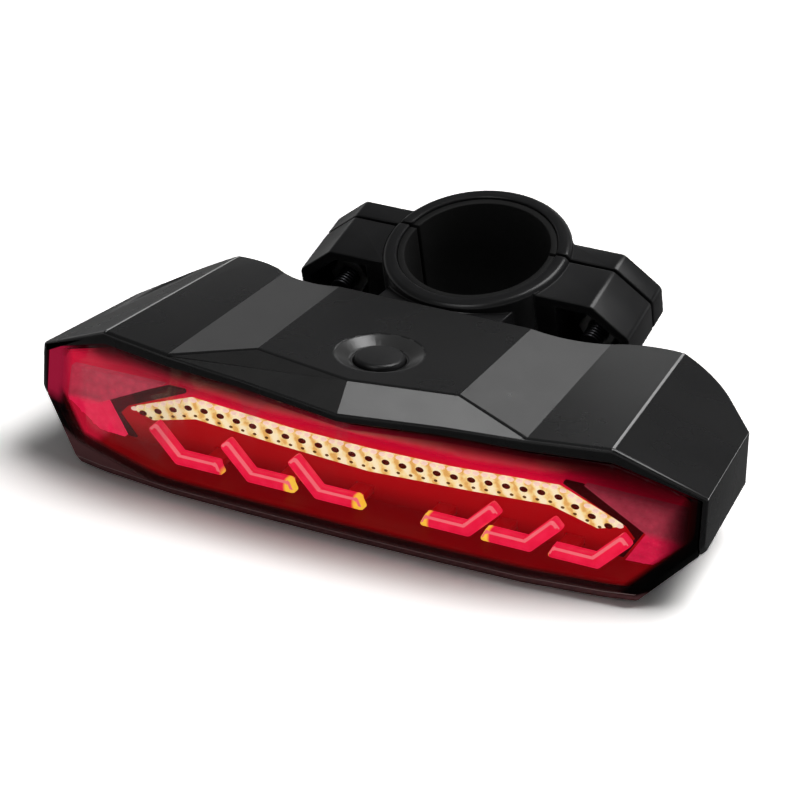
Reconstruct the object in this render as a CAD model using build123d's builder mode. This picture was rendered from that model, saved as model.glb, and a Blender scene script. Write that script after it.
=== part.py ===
from build123d import *
from collections import namedtuple
from math import atan2, cos, degrees, radians, sin
import os

os.makedirs("parts", exist_ok=True)

# Bicycle tail light with a split clamp for the seat post, in millimetres.
# Origin: centre of the clamp's bore. +X runs along the lamp, the lens faces -Y, +Z is up.
# Lamp sizes are given from the lamp's own datum, the front top corner of its two ends.

# Seat post and clamp
POST_RADIUS = 13.6
POST_TILT = 16.5  # degrees that the post leans from upright
CLAMP_BACK = 49.868  # bore centre behind the lamp's datum
CLAMP_UP = 3.832  # bore centre above the lamp's datum
PAD_THICK = 1.35
PAD_FIT = 0.05  # pad to its seat
PAD_SHORT = 0.5  # pad edge below the ring's rim
RING_WALL = 2.7
RING_HEIGHT = 24.0
RIM_EDGE = 0.7
SPLIT_BACK = 2.5  # split plane behind the bore's centre
SPLIT_GAP = 0.6
EAR_UP = 2.0  # the ears sit this far above the bore's centre
EAR_REACH = 33.5
EAR_SHOULDER = 26.5
EAR_HALF_HEIGHT = 9.0
EAR_TIP_HALF = 3.0
EAR_ROUND = 1.6
FRONT_EAR_DEPTH = 11.0
REAR_EAR_DEPTH = 4.6
EAR_FLOOR = 3.5  # wall that the nut bears on
EAR_WALL = 2.0
POCKET_CLEAR = 1.6  # wall between the ring and the nut pockets

# Clamp screws and nuts, M4
SCREW_SPREAD = 25.5
SCREW_RADIUS = 1.95
SCREW_LENGTH = 16.0
SCREW_HOLE = 2.25
HEAD_RADIUS = 3.5
HEAD_HEIGHT = 4.0
HEX_SOCKET = 1.73
HEX_DEPTH = 2.2
NUT_FLATS = 7.0
NUT_THICK = 3.2
NUT_BORE = 2.04

# Battery cell, sounder beside it and the bay that holds both; they set how long the lamp is
BATTERY_RADIUS = 9.2
BATTERY_LENGTH = 65.0
BATTERY_LEVEL = -7.9
BUZZER_RADIUS = 6.0
BUZZER_HEIGHT = 9.5
BAY_SPARE = 5.0  # free length in the bay
BAY_HALF = (BATTERY_LENGTH + 2 * BUZZER_RADIUS + BAY_SPARE) / 2
BAY_DEPTH = 16.9
BAY_WIDTH = 19.0
BAY_TO_END = 24.1  # end of the bay to the end of the lamp

# Lamp outline
LAMP_HALF = BAY_HALF + BAY_TO_END
PLATEAU_HALF = 19.6
CREASE_HALF = 34.4
WING_IN = 16.2  # in from the lamp's end, as the lengths below named IN
KEEL_IN = 10.5
WING_HALF = LAMP_HALF - WING_IN
KEEL_HALF = LAMP_HALF - KEEL_IN
PLATEAU_TOP = 10.0
LAMP_FLOOR = -20.6
REAR = 28.6
REAR_FLAT_HALF = 20.0
HUMP_IN = 18.6
HUMP_X = LAMP_HALF - HUMP_IN
HUMP_DEPTH = 9.1  # rear bulge behind the flat rear wall
HUMP_ROUND = 13.3
REAR_CORNER = 45.0  # slant of the rear corners
TAPER_DEPTH = 30.0  # depth over which each station's taper is measured
BEVEL_HEIGHT = 2.0
BEVEL_IN = 1.6

# Walls of the housing
ROOF_WALL = 2.2
REAR_WALL = 2.2
END_WALL = 2.4
END_RIM = 1.0
NOSE_WALL = 1.6
BROW_WALL = 3.6
FLOOR_WALL = 3.4
LENS_FLOOR = 1.6  # thinner floor under the reflector
FLOOR_STEP = 4.8
OPEN_RIM = 1.2

# Lens
LENS_SEAT = 2.6
LENS_BED = 0.05  # glue behind the lens
LENS_SET = 0.3
LENS_GAP = 0.15

# Reflector
TRAY_FIT = 0.3
TRAY_WALL = 1.0
TRAY_FACE = 3.4
SLOT_FIT = 0.2

# Light bar and arrow guides
GUIDE_BACK = 4.6
BAR_FRONT = 2.6
BAR_IN = 16.5
BAR_HALF = LAMP_HALF - BAR_IN
ARROW_FRONT = -2.6
ARROW_THICK = 2.0
ARROWS_IN = (24.0, 37.8, 50.5)
ARROW_BENDS = [LAMP_HALF - inset for inset in ARROWS_IN]
ARROW_DRIFTS = (5.0, 6.0, 7.0)  # the arrow rows sit to the right of the middle
ARROW_HEIGHT = -15.9
ARROW_EDGE = 0.5
STEM_IN = 6.4  # middle of a guide's stem inboard of its bend
STEM_WIDTH = 3.4
STEM_THICK = 1.5

# Reflex reflectors and arrowheads
REFLEX_EDGE = 2.6
REFLEX_RIDGE = 0.4
REFLEX_LEVEL = -9.8
REFLEX_SPAN = 9.0  # height of each facet's slope
ARROWHEAD_THICK = 0.8
REFLEX_SEAT = 0.05  # gap behind the pieces that are glued to the reflector

# Boards, light sources and sounder
BOARD_THICK = 1.2
LED_BOARD_FRONT = 5.9
LED_BOARD_IN = 17.1
LED_BOARD_HALF = LAMP_HALF - LED_BOARD_IN
LED_BOARD_TOP = -2.5
LED_BOARD_FOOT = -16.5
LED_SIZE = 2.0
LED_HEIGHT = 1.1
BAR_LED_PITCH = 5.0
BAR_LED_COUNT = 14
BAR_LED_LEVEL = -9.0
END_LED_IN = 24.6
END_LED_X = LAMP_HALF - END_LED_IN
END_LED_LEVEL = -9.4
TURN_LED_HEIGHT = 1.4
MAIN_BOARD_TOP = 2.9
MAIN_BOARD_SHORT = 7.0  # left free at the bay's left end
MAIN_BOARD_LENGTH = 2 * BAY_HALF - MAIN_BOARD_SHORT
MAIN_BOARD_FRONT = 1.8
MAIN_BOARD_REAR = 24.2
MAIN_SCREW_IN = 14.0  # in from the bay's end
MAIN_SCREW_X = BAY_HALF - MAIN_SCREW_IN
SCREW_INSET = 2.0  # board screws in from the board's edges
BUZZER_X = BAY_HALF - BUZZER_RADIUS
BUZZER_MOUTH = 1.2
BUZZER_MOUTH_DEEP = 1.5
SOUND_HOLE = 0.8
SOUND_RING = 2.6
SOUND_HOLES = 4  # round the middle one
BOARD_POST = 2.2
POST_REACH = 6.6  # from the board up into the roof
BOARD_SCREW_RADIUS = 0.95
BOARD_SCREW_HEAD = 1.7
BOARD_HEAD_HEIGHT = 0.9
BOARD_SCREW_LENGTH = 3.6

# Battery's place and base cover
BATTERY_CLEAR = 0.5  # battery to sounder
BATTERY_X = BUZZER_X - BUZZER_RADIUS - BATTERY_CLEAR - BATTERY_LENGTH / 2
LEDGE = 1.1
COVER_END = 7.2
COVER_THICK = 1.6
COVER_FIT = 0.1
COVER_ROUND = 2.5
GASKET_THICK = 0.6
GASKET_FIT = 0.1
SADDLE_THICK = 2.0
SADDLE_TOP = -12.0
SADDLE_FIT = 0.2
COVER_SCREW_OUT = 3.7  # out from the bay's end
COVER_SCREW_X = BAY_HALF + COVER_SCREW_OUT
COVER_SCREW_SPREAD = 6.5
COVER_SCREW_RADIUS = 1.2
COVER_SCREW_HEAD = 2.3
COVER_SCREW_LENGTH = 8.0
DRIVE_RADIUS = 0.8
DRIVE_DEEP = 0.6
COVER_BOSS = 3.0
COVER_BOSS_TOP = -10.0

# Button and switch
BUTTON_DEPTH = 6.2
DISH_RADIUS = 8.0
DISH_FLOOR_RADIUS = 5.4
DISH_DEEP = 1.4
DISH_BOSS = 8.6  # thickened roof round the dish
BUTTON_RADIUS = 4.6
BUTTON_FIT = 0.15
BUTTON_PROUD = 0.9  # button top above the dish floor
BUTTON_WALL = 1.4
BUTTON_FLANGE = 6.2
BUTTON_FLANGE_THICK = 0.9
BUTTON_TRAVEL = 0.4
STEM_RADIUS = 2.0
STEM_LENGTH = 0.2
SWITCH_SIZE = 6.0
SWITCH_HEIGHT = 2.4
PLUNGER_RADIUS = 1.6
PLUNGER_LENGTH = 1.6
PLUNGER_FIT = 0.1

# Charging port
PORT_IN = 19.1
PORT_X = PORT_IN - LAMP_HALF
PORT_LEVEL = -6.0
PORT_FLOOR = 34.9
PORT_WALL = 1.2
PORT_WIDTH = 8.9
PORT_HEIGHT = 3.2
PORT_LENGTH = 7.3
PORT_SHEET = 0.3
PORT_BACK = 1.0  # closed inner end
TONGUE_WIDTH = 6.7
TONGUE_THICK = 0.7
PORT_FIT = 0.15
FLAP_WIDTH = 13.0
FLAP_HEIGHT = 7.0
FLAP_THICK = 1.4
FLAP_FIT = 0.3
PLUG_WIDTH = 7.8
PLUG_HEIGHT = 1.6
PLUG_LENGTH = 0.9
CHARGE_BOARD_WIDTH = 12.6
CHARGE_BOARD_DEPTH = 10.2
CHARGE_POST_SPREAD = 4.3
CHARGE_POST_DEPTH = 25.5
CHARGE_POST = 1.8

# Bracket screws, M3, from inside the housing into the clamp's foot
BRACKET_SPREAD = 8.0
BRACKET_LEVEL = 1.0
BRACKET_RADIUS = 1.45
BRACKET_HOLE = 1.7
BRACKET_HEAD = 2.8
BRACKET_HEAD_HEIGHT = 1.8
BRACKET_LENGTH = 8.0
FOOT_HALF = 12.5
FOOT_TOP = 9.0
FOOT_BOTTOM = -8.8

REACH = 45.0  # how far working blocks run past the lamp
MATE_FIT = 0.05  # gap between a thread and its hole

LAMP = Plane(origin=(0, -CLAMP_BACK, -CLAMP_UP))
LAMP_FRONT = Plane(origin=(0, -CLAMP_BACK, -CLAMP_UP), x_dir=(1, 0, 0), z_dir=(0, -1, 0))
tilt = radians(POST_TILT)
POST = Plane(origin=(0, 0, 0), x_dir=(1, 0, 0), z_dir=(0, -sin(tilt), cos(tilt)))
EARS = Plane(origin=POST.offset(EAR_UP).origin, x_dir=(1, 0, 0), z_dir=(0, -cos(tilt), -sin(tilt)))


def level(height):
    """Level plane at a height of the lamp."""
    return LAMP.offset(height)


def upright(depth):
    """Upright plane across the lamp at a depth, facing forward."""
    return LAMP_FRONT.offset(-depth)


def finish(builder, name):
    """Label a finished piece and write it."""
    builder.part.label = name
    export_step(builder.part, f"parts/{name}.step")


# The housing is a row of upright stations that run from the lens to the rear.
# nose: front edge of the top; brow: front of the band over the lens, which ends at lip;
# foot and floor: lower edge of the lens; hood: back edge of the reflector's hood.
Station = namedtuple("Station", "x taper nose top top_rear brow brow_top lip foot floor hood")


def between(first, second, share):
    """Station part of the way from one station to the next."""
    return Station(*(a + (b - a) * share for a, b in zip(first, second)))


centre = Station(
    x=0, taper=0, nose=-6.2, top=PLATEAU_TOP, top_rear=PLATEAU_TOP,
    brow=-10.3, brow_top=4.8, lip=3.5, foot=-9.2, floor=LAMP_FLOOR, hood=-5.6,
)
plateau = Station(
    x=PLATEAU_HALF, taper=0.3, nose=-2.6, top=PLATEAU_TOP, top_rear=PLATEAU_TOP,
    brow=-9.3, brow_top=6.5, lip=5.0, foot=-9.0, floor=LAMP_FLOOR, hood=-5.6,
)
crease = Station(
    x=CREASE_HALF, taper=1.3, nose=-8.0, top=7.7, top_rear=8.2,
    brow=-8.4, brow_top=7.2, lip=5.3, foot=-8.6, floor=LAMP_FLOOR, hood=-4.4,
)
wing = Station(
    x=WING_HALF, taper=2.85, nose=-5.0, top=7.8, top_rear=7.4,
    brow=-5.4, brow_top=7.3, lip=5.2, foot=-7.2, floor=-20.3, hood=-3.0,
)
end = Station(
    x=LAMP_HALF, taper=3.5, nose=-0.3, top=0.2, top_rear=-0.3,
    brow=-0.6, brow_top=-0.1, lip=-0.8, foot=-1.0, floor=-10.3, hood=-4.4,
)
keel = between(wing, end, (KEEL_HALF - WING_HALF) / (LAMP_HALF - WING_HALF))
keel = keel._replace(foot=-6.5, floor=-19.9, hood=-3.4)


def stations(end_inset):
    """Stations from the left end to the right end, the last ones inset from the end faces."""
    last = between(keel, end, (LAMP_HALF - end_inset - KEEL_HALF) / (LAMP_HALF - KEEL_HALF))
    right = [plateau, crease, wing, keel, last]
    left = [station._replace(x=-station.x, taper=-station.taper) for station in right]
    return left[::-1] + [centre] + right


def lofted(rows, outline):
    """Ruled solid through one outline of depth and height at each station."""
    with BuildPart() as body:
        for row in rows:
            along = Vector(-row.taper, TAPER_DEPTH, 0)
            start = LAMP.from_local_coords(Vector(row.x, 0, 0))
            section = Plane(origin=start, x_dir=along, z_dir=along.cross(Vector(0, 0, 1)))
            with BuildSketch(section):
                with BuildLine():
                    Polyline(*outline(row), close=True)
                make_face()
        loft(ruled=True)
    return body.part


def roof(row, depth):
    """Height of the top of a station at a depth."""
    return row.top + (row.top_rear - row.top) * (depth - row.nose) / (TAPER_DEPTH - row.nose)


def shell_outline(row):
    return [
        (REACH, roof(row, REACH)),
        (row.nose, row.top),
        (row.brow, row.brow_top),
        (row.brow, row.lip),
        (row.foot, row.floor + BEVEL_HEIGHT),
        (row.foot + BEVEL_IN, row.floor),
        (REACH, row.floor),
    ]


def room_outline(row):
    front = max(row.nose + NOSE_WALL, row.brow + BROW_WALL)
    return [
        (REACH, roof(row, REACH) - ROOF_WALL),
        (front, row.top - ROOF_WALL),
        (row.brow + BROW_WALL, row.lip - OPEN_RIM),
        (-REACH, row.lip - OPEN_RIM),
        (-REACH, row.floor + LENS_FLOOR),
        (FLOOR_STEP, row.floor + LENS_FLOOR),
        (FLOOR_STEP, row.floor + FLOOR_WALL),
        (REACH, row.floor + FLOOR_WALL),
    ]


def lens_space_outline(row):
    return [
        (-REACH, row.lip),
        (row.brow + LENS_SEAT, row.lip),
        (row.foot + LENS_SEAT, row.floor),
        (row.foot + LENS_SEAT, row.floor - BEVEL_HEIGHT),
        (-REACH, row.floor - BEVEL_HEIGHT),
    ]


def lens_outline(row):
    return [
        (row.brow + LENS_SET, row.lip - LENS_GAP),
        (row.brow + LENS_SEAT - LENS_BED, row.lip - LENS_GAP),
        (row.foot + LENS_SEAT - LENS_BED, row.floor),
        (row.foot + BEVEL_IN, row.floor),
        (row.foot, row.floor + BEVEL_HEIGHT),
    ]


def plan(inset):
    """Outline of the lamp from above, with its curved rear set in by a wall."""
    sway = HUMP_X - REAR_FLAT_HALF
    bend = (sway**2 + HUMP_DEPTH**2) / (4 * HUMP_DEPTH)
    turn = degrees(2 * atan2(HUMP_DEPTH, sway))
    crest = REAR + HUMP_DEPTH
    with BuildSketch(level(-REACH)) as outline:
        with BuildLine():
            Line((0, REAR - inset), (REAR_FLAT_HALF, REAR - inset))
            CenterArc((REAR_FLAT_HALF, REAR + bend), bend + inset, -90, turn)
            CenterArc((HUMP_X, crest - bend), bend - inset, 90 + turn, -turn)
            corner = CenterArc((HUMP_X, crest - HUMP_ROUND), HUMP_ROUND - inset, 90, -REAR_CORNER)
            slant = PolarLine(corner @ 1, REACH / 2, -REAR_CORNER)
            Polyline(slant @ 1, ((slant @ 1).X, -REACH), (0, -REACH))
            mirror(about=Plane.YZ)
        make_face()
    return outline.sketch


def along_x(first, second):
    """Both signs of a place on the long axis."""
    return [(-first, second), (first, second)]


# What is left hollow inside the housing, with its bosses and posts kept solid
cover_screws_at = along_x(COVER_SCREW_X, BAY_DEPTH - COVER_SCREW_SPREAD)
cover_screws_at += along_x(COVER_SCREW_X, BAY_DEPTH + COVER_SCREW_SPREAD)
main_screws_at = along_x(MAIN_SCREW_X, MAIN_BOARD_FRONT + SCREW_INSET)
main_screws_at += along_x(MAIN_SCREW_X, MAIN_BOARD_REAR - SCREW_INSET)
led_screws_at = along_x(LED_BOARD_HALF - SCREW_INSET, LED_BOARD_TOP - SCREW_INSET - LED_HEIGHT)
charge_screws_at = [
    (PORT_X - CHARGE_POST_SPREAD, CHARGE_POST_DEPTH),
    (PORT_X + CHARGE_POST_SPREAD, CHARGE_POST_DEPTH),
]
floor_low = LAMP_FLOOR + LENS_FLOOR
charge_board_top = PORT_LEVEL - PORT_HEIGHT / 2
charge_board_foot = charge_board_top - BOARD_THICK
button_seat = PLATEAU_TOP - DISH_DEEP - BUTTON_WALL

with BuildPart() as room:
    add(lofted(stations(END_WALL), room_outline))
    extrude(plan(REAR_WALL), amount=2 * REACH, mode=Mode.INTERSECT)
    with BuildSketch(level(floor_low)):
        with Locations(*cover_screws_at):
            Rectangle(2 * COVER_BOSS, 2 * COVER_BOSS)
    extrude(amount=COVER_BOSS_TOP - floor_low, mode=Mode.SUBTRACT)
    with BuildSketch(level(MAIN_BOARD_TOP)):
        with Locations(*main_screws_at):
            Rectangle(2 * BOARD_POST, 2 * BOARD_POST)
    extrude(amount=POST_REACH, mode=Mode.SUBTRACT)
    with BuildSketch(upright(LED_BOARD_FRONT + BOARD_THICK)):
        with Locations(*led_screws_at):
            Rectangle(2 * BOARD_POST, 2 * BOARD_POST)
        with Locations(*along_x(LED_BOARD_HALF - SCREW_INSET, LAMP_FLOOR / 2)):
            Rectangle(2 * BOARD_POST, -LAMP_FLOOR / 2 + BOARD_POST)
    extrude(amount=-BOARD_SCREW_LENGTH, mode=Mode.SUBTRACT)
    with BuildSketch(level(floor_low)):
        with Locations(*charge_screws_at):
            Rectangle(2 * CHARGE_POST, 2 * CHARGE_POST)
    extrude(amount=charge_board_foot - floor_low, mode=Mode.SUBTRACT)
    with BuildSketch(upright(PORT_FLOOR - PORT_WALL)):
        with Locations((PORT_X, PORT_LEVEL)):
            Rectangle(FLAP_WIDTH + 4 * PORT_WALL, FLAP_HEIGHT + 4 * PORT_WALL)
    extrude(amount=-REACH, mode=Mode.SUBTRACT)
    with BuildSketch(level(button_seat)):
        with Locations((0, BUTTON_DEPTH)):
            Circle(DISH_BOSS)
    extrude(amount=ROOF_WALL, mode=Mode.SUBTRACT)

cover_top = LAMP_FLOOR + COVER_THICK
cover_length = 2 * (BAY_HALF + COVER_END)
cover_width = BAY_WIDTH + 2 * LEDGE
groove_length = 2 * (BAY_HALF + LEDGE)

with BuildPart() as housing:
    add(lofted(stations(0), shell_outline))
    extrude(plan(0), amount=2 * REACH, mode=Mode.INTERSECT)
    add(lofted(stations(END_RIM), lens_space_outline), mode=Mode.SUBTRACT)
    add(room.part, mode=Mode.SUBTRACT)
    # Recess, gasket groove and opening of the base cover
    with BuildSketch(level(LAMP_FLOOR)):
        with Locations((0, BAY_DEPTH)):
            RectangleRounded(cover_length + 2 * COVER_FIT, cover_width + 2 * COVER_FIT, COVER_ROUND)
    extrude(amount=COVER_THICK, mode=Mode.SUBTRACT)
    with BuildSketch(level(cover_top)):
        with Locations((0, BAY_DEPTH)):
            RectangleRounded(groove_length, cover_width, COVER_ROUND)
    extrude(amount=GASKET_THICK, mode=Mode.SUBTRACT)
    with BuildSketch(level(cover_top)):
        with Locations((0, BAY_DEPTH)):
            RectangleRounded(2 * BAY_HALF, BAY_WIDTH, COVER_ROUND)
    extrude(amount=FLOOR_WALL, mode=Mode.SUBTRACT)
    with BuildSketch(level(cover_top)):
        with Locations(*cover_screws_at):
            Circle(COVER_SCREW_RADIUS + MATE_FIT)
    extrude(amount=COVER_SCREW_LENGTH, mode=Mode.SUBTRACT)
    # Screw holes of the boards
    with BuildSketch(level(MAIN_BOARD_TOP)):
        with Locations(*main_screws_at):
            Circle(BOARD_SCREW_RADIUS + MATE_FIT)
    extrude(amount=BOARD_SCREW_LENGTH, mode=Mode.SUBTRACT)
    with BuildSketch(upright(LED_BOARD_FRONT + BOARD_THICK)):
        with Locations(*led_screws_at):
            Circle(BOARD_SCREW_RADIUS + MATE_FIT)
    extrude(amount=-(BOARD_SCREW_LENGTH - BOARD_THICK), mode=Mode.SUBTRACT)
    with BuildSketch(level(charge_board_foot)):
        with Locations(*charge_screws_at):
            Circle(BOARD_SCREW_RADIUS + MATE_FIT)
    extrude(amount=-BOARD_SCREW_LENGTH, mode=Mode.SUBTRACT)
    # Dish and hole of the button
    with BuildSketch(level(PLATEAU_TOP)):
        with Locations((0, BUTTON_DEPTH)):
            Circle(DISH_RADIUS)
    with BuildSketch(level(PLATEAU_TOP - DISH_DEEP)):
        with Locations((0, BUTTON_DEPTH)):
            Circle(DISH_FLOOR_RADIUS)
    loft(mode=Mode.SUBTRACT)
    with BuildSketch(level(PLATEAU_TOP)):
        with Locations((0, BUTTON_DEPTH)):
            Circle(BUTTON_RADIUS + BUTTON_FIT)
    extrude(amount=-2 * ROOF_WALL, mode=Mode.SUBTRACT)
    # Pocket of the port's flap and the port's slot
    with BuildSketch(upright(PORT_FLOOR)):
        with Locations((PORT_X, PORT_LEVEL)):
            Rectangle(FLAP_WIDTH + 2 * FLAP_FIT, FLAP_HEIGHT + 2 * FLAP_FIT)
    extrude(amount=-REACH, mode=Mode.SUBTRACT)
    with BuildSketch(upright(PORT_FLOOR)):
        with Locations((PORT_X, PORT_LEVEL - (FLAP_HEIGHT + FLAP_THICK) / 2)):
            Rectangle(FLAP_WIDTH + 2 * FLAP_FIT, 2 * FLAP_FIT + FLAP_THICK)
    extrude(amount=-REACH, mode=Mode.SUBTRACT)
    with BuildSketch(upright(PORT_FLOOR)):
        with Locations((PORT_X, PORT_LEVEL)):
            SlotOverall(PORT_WIDTH + 2 * PORT_FIT, PORT_HEIGHT + 2 * PORT_FIT)
    extrude(amount=2 * PORT_WALL, mode=Mode.SUBTRACT)
    # Holes of the bracket screws
    with BuildSketch(upright(REAR)):
        with Locations(*along_x(BRACKET_SPREAD, BRACKET_LEVEL)):
            Circle(BRACKET_HOLE)
    extrude(amount=2 * REAR_WALL, mode=Mode.SUBTRACT)
finish(housing, "housing")

with BuildPart() as lens:
    add(lofted(stations(END_RIM + LENS_GAP), lens_outline))
finish(lens, "lens")


# Reflector: an open tray behind the lens with a sloping hood over the light bar
def tray_top(row):
    return row.lip - OPEN_RIM - TRAY_FIT


def tray_foot(row):
    return row.floor + LENS_FLOOR + TRAY_FIT


def tray_outline(row):
    back = TRAY_FACE + TRAY_WALL
    return [
        (row.brow + LENS_SEAT + TRAY_FIT, tray_top(row)),
        (back, row.hood + TRAY_WALL),
        (back, tray_foot(row)),
        (row.foot + LENS_SEAT + TRAY_FIT, tray_foot(row)),
    ]


def tray_space_outline(row):
    front = row.brow + LENS_SEAT + TRAY_FIT
    slope = (tray_top(row) - TRAY_WALL - row.hood) / (TRAY_FACE - front)
    return [
        (front - LENS_SEAT, row.hood + slope * (TRAY_FACE - front + LENS_SEAT)),
        (TRAY_FACE, row.hood),
        (TRAY_FACE, tray_foot(row) + TRAY_WALL),
        (-REACH, tray_foot(row) + TRAY_WALL),
        (-REACH, row.hood + slope * (TRAY_FACE - front + LENS_SEAT)),
    ]


bar_top = [(0, -7.9), (16.0, -7.6), (BAR_HALF - 12.2, -6.2), (BAR_HALF, -10.8)]
bar_foot = [(BAR_HALF - 4.4, -12.2), (BAR_HALF - 13.4, -9.9), (20.0, -10.9), (0, -11.9)]
bar_half = bar_top + bar_foot
arrow_shape = [(-8.8, -1.0), (0.4, -1.0), (5.9, 4.6), (4.5, 6.0), (-0.4, 1.0), (-7.8, 1.0)]


def bar_face(depth, grow):
    """Outline of the light bar, with both ends bent down."""
    with BuildSketch(upright(depth)) as face:
        with BuildLine():
            Polyline(*bar_half)
            mirror(about=Plane.YZ)
        make_face()
        if grow:
            offset(amount=grow, kind=Kind.INTERSECTION)
    return face.sketch


def arrow_faces(side, depth):
    """Outlines of the three bent bars on one side, right for 1 and left for -1."""
    with BuildSketch(upright(depth)) as faces:
        for bend, drift in zip(ARROW_BENDS, ARROW_DRIFTS):
            at = (side * bend + drift, ARROW_HEIGHT)
            with BuildLine():
                Polyline(*[(at[0] + side * x, at[1] + z) for x, z in arrow_shape], close=True)
            make_face()
    return faces.sketch


def stems_at(side):
    """Middles of the stems that carry the bent bars on one side."""
    return [
        (side * (bend - STEM_IN) + drift, ARROW_HEIGHT)
        for bend, drift in zip(ARROW_BENDS, ARROW_DRIFTS)
    ]


with BuildPart() as reflector:
    add(lofted(stations(END_WALL + TRAY_FIT), tray_outline))
    add(lofted(stations(END_WALL + TRAY_FIT + TRAY_WALL), tray_space_outline), mode=Mode.SUBTRACT)
    extrude(bar_face(GUIDE_BACK, SLOT_FIT), amount=2 * TRAY_WALL, mode=Mode.SUBTRACT)
    with BuildSketch(upright(GUIDE_BACK)):
        with Locations(*stems_at(-1), *stems_at(1)):
            Rectangle(STEM_WIDTH + 2 * SLOT_FIT, STEM_THICK + 2 * SLOT_FIT)
    extrude(amount=2 * TRAY_WALL, mode=Mode.SUBTRACT)
finish(reflector, "reflector")

with BuildPart() as light_bar:
    extrude(bar_face(GUIDE_BACK, 0), amount=GUIDE_BACK - BAR_FRONT)
finish(light_bar, "light_bar")

for side, name in ((-1, "left_arrow_guides"), (1, "right_arrow_guides")):
    with BuildPart() as arrow_guides:
        extrude(arrow_faces(side, ARROW_FRONT + ARROW_THICK), amount=ARROW_THICK)
        chamfer(arrow_guides.faces().group_by(Axis.Y)[0].edges(), ARROW_EDGE)
        with BuildSketch(upright(GUIDE_BACK)):
            with Locations(*stems_at(side)):
                Rectangle(STEM_WIDTH, STEM_THICK)
        extrude(amount=GUIDE_BACK - ARROW_FRONT - ARROW_THICK)
    finish(arrow_guides, name)

# Outlines of the end pieces: distance from the lamp's end, height
reflex_shape = [(23.6, -4.1), (4.3, -4.3), (4.2, -10.4), (10.1, -16.2), (15.3, -16.6), (11.2, -9.8)]
arrowhead_shape = [
    (27.5, -4.4), (24.1, -4.4), (11.7, -9.8), (15.8, -16.5),
    (17.5, -16.5), (13.9, -12.4), (15.7, -10.4), (27.8, -5.1),
]

for side, word in ((-1, "left"), (1, "right")):
    with BuildPart() as reflex:
        with BuildSketch(upright(TRAY_FACE - REFLEX_SEAT)):
            with BuildLine():
                Polyline(*[(side * (LAMP_HALF - x), z) for x, z in reflex_shape], close=True)
            make_face()
        extrude(amount=TRAY_FACE - REFLEX_SEAT - REFLEX_RIDGE)
        # Two facets that meet in a level ridge
        with BuildSketch(Plane.YZ):
            with Locations((-CLAMP_BACK, -CLAMP_UP)):
                Polygon(
                    (TRAY_FACE, REFLEX_LEVEL - REFLEX_SPAN),
                    (REFLEX_EDGE, REFLEX_LEVEL - REFLEX_SPAN),
                    (REFLEX_RIDGE, REFLEX_LEVEL),
                    (REFLEX_EDGE, REFLEX_LEVEL + REFLEX_SPAN),
                    (TRAY_FACE, REFLEX_LEVEL + REFLEX_SPAN),
                    align=None,
                )
        extrude(amount=LAMP_HALF, both=True, mode=Mode.INTERSECT)
    finish(reflex, f"{word}_reflex_reflector")

    with BuildPart() as arrowhead:
        with BuildSketch(upright(TRAY_FACE - REFLEX_SEAT)):
            with BuildLine():
                Polyline(*[(side * (LAMP_HALF - x), z) for x, z in arrowhead_shape], close=True)
            make_face()
        extrude(amount=ARROWHEAD_THICK)
    finish(arrowhead, f"{word}_arrowhead")

# Boards and what stands on them
with BuildPart() as led_board:
    with BuildSketch(upright(LED_BOARD_FRONT)):
        with Locations((0, (LED_BOARD_TOP + LED_BOARD_FOOT) / 2)):
            Rectangle(2 * LED_BOARD_HALF, LED_BOARD_TOP - LED_BOARD_FOOT)
        with Locations(*led_screws_at):
            Circle(BOARD_SCREW_RADIUS + MATE_FIT, mode=Mode.SUBTRACT)
    extrude(amount=-BOARD_THICK)
finish(led_board, "led_board")

bar_leds_at = [
    ((place - (BAR_LED_COUNT - 1) / 2) * BAR_LED_PITCH, BAR_LED_LEVEL)
    for place in range(BAR_LED_COUNT)
]
with BuildPart() as bar_leds:
    with BuildSketch(upright(LED_BOARD_FRONT)):
        with Locations(*bar_leds_at, *along_x(END_LED_X, END_LED_LEVEL)):
            Rectangle(LED_SIZE, LED_SIZE)
    extrude(amount=LED_HEIGHT)
finish(bar_leds, "bar_leds")

with BuildPart() as turn_leds:
    with BuildSketch(upright(LED_BOARD_FRONT)):
        with Locations(*stems_at(-1), *stems_at(1)):
            Rectangle(LED_SIZE, TURN_LED_HEIGHT)
    extrude(amount=LED_HEIGHT)
finish(turn_leds, "turn_leds")

with BuildPart() as main_board:
    with BuildSketch(level(MAIN_BOARD_TOP)):
        with Locations((MAIN_BOARD_SHORT / 2, (MAIN_BOARD_FRONT + MAIN_BOARD_REAR) / 2)):
            Rectangle(MAIN_BOARD_LENGTH, MAIN_BOARD_REAR - MAIN_BOARD_FRONT)
        with Locations(*main_screws_at):
            Circle(BOARD_SCREW_RADIUS + MATE_FIT, mode=Mode.SUBTRACT)
    extrude(amount=-BOARD_THICK)
finish(main_board, "main_board")

with BuildPart() as buzzer:
    with BuildSketch(level(MAIN_BOARD_TOP - BOARD_THICK)):
        with Locations((BUZZER_X, BAY_DEPTH)):
            Circle(BUZZER_RADIUS)
    extrude(amount=-BUZZER_HEIGHT)
    with BuildSketch(level(MAIN_BOARD_TOP - BOARD_THICK - BUZZER_HEIGHT)):
        with Locations((BUZZER_X, BAY_DEPTH)):
            Circle(BUZZER_MOUTH)
    extrude(amount=BUZZER_MOUTH_DEEP, mode=Mode.SUBTRACT)
finish(buzzer, "buzzer")

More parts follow.
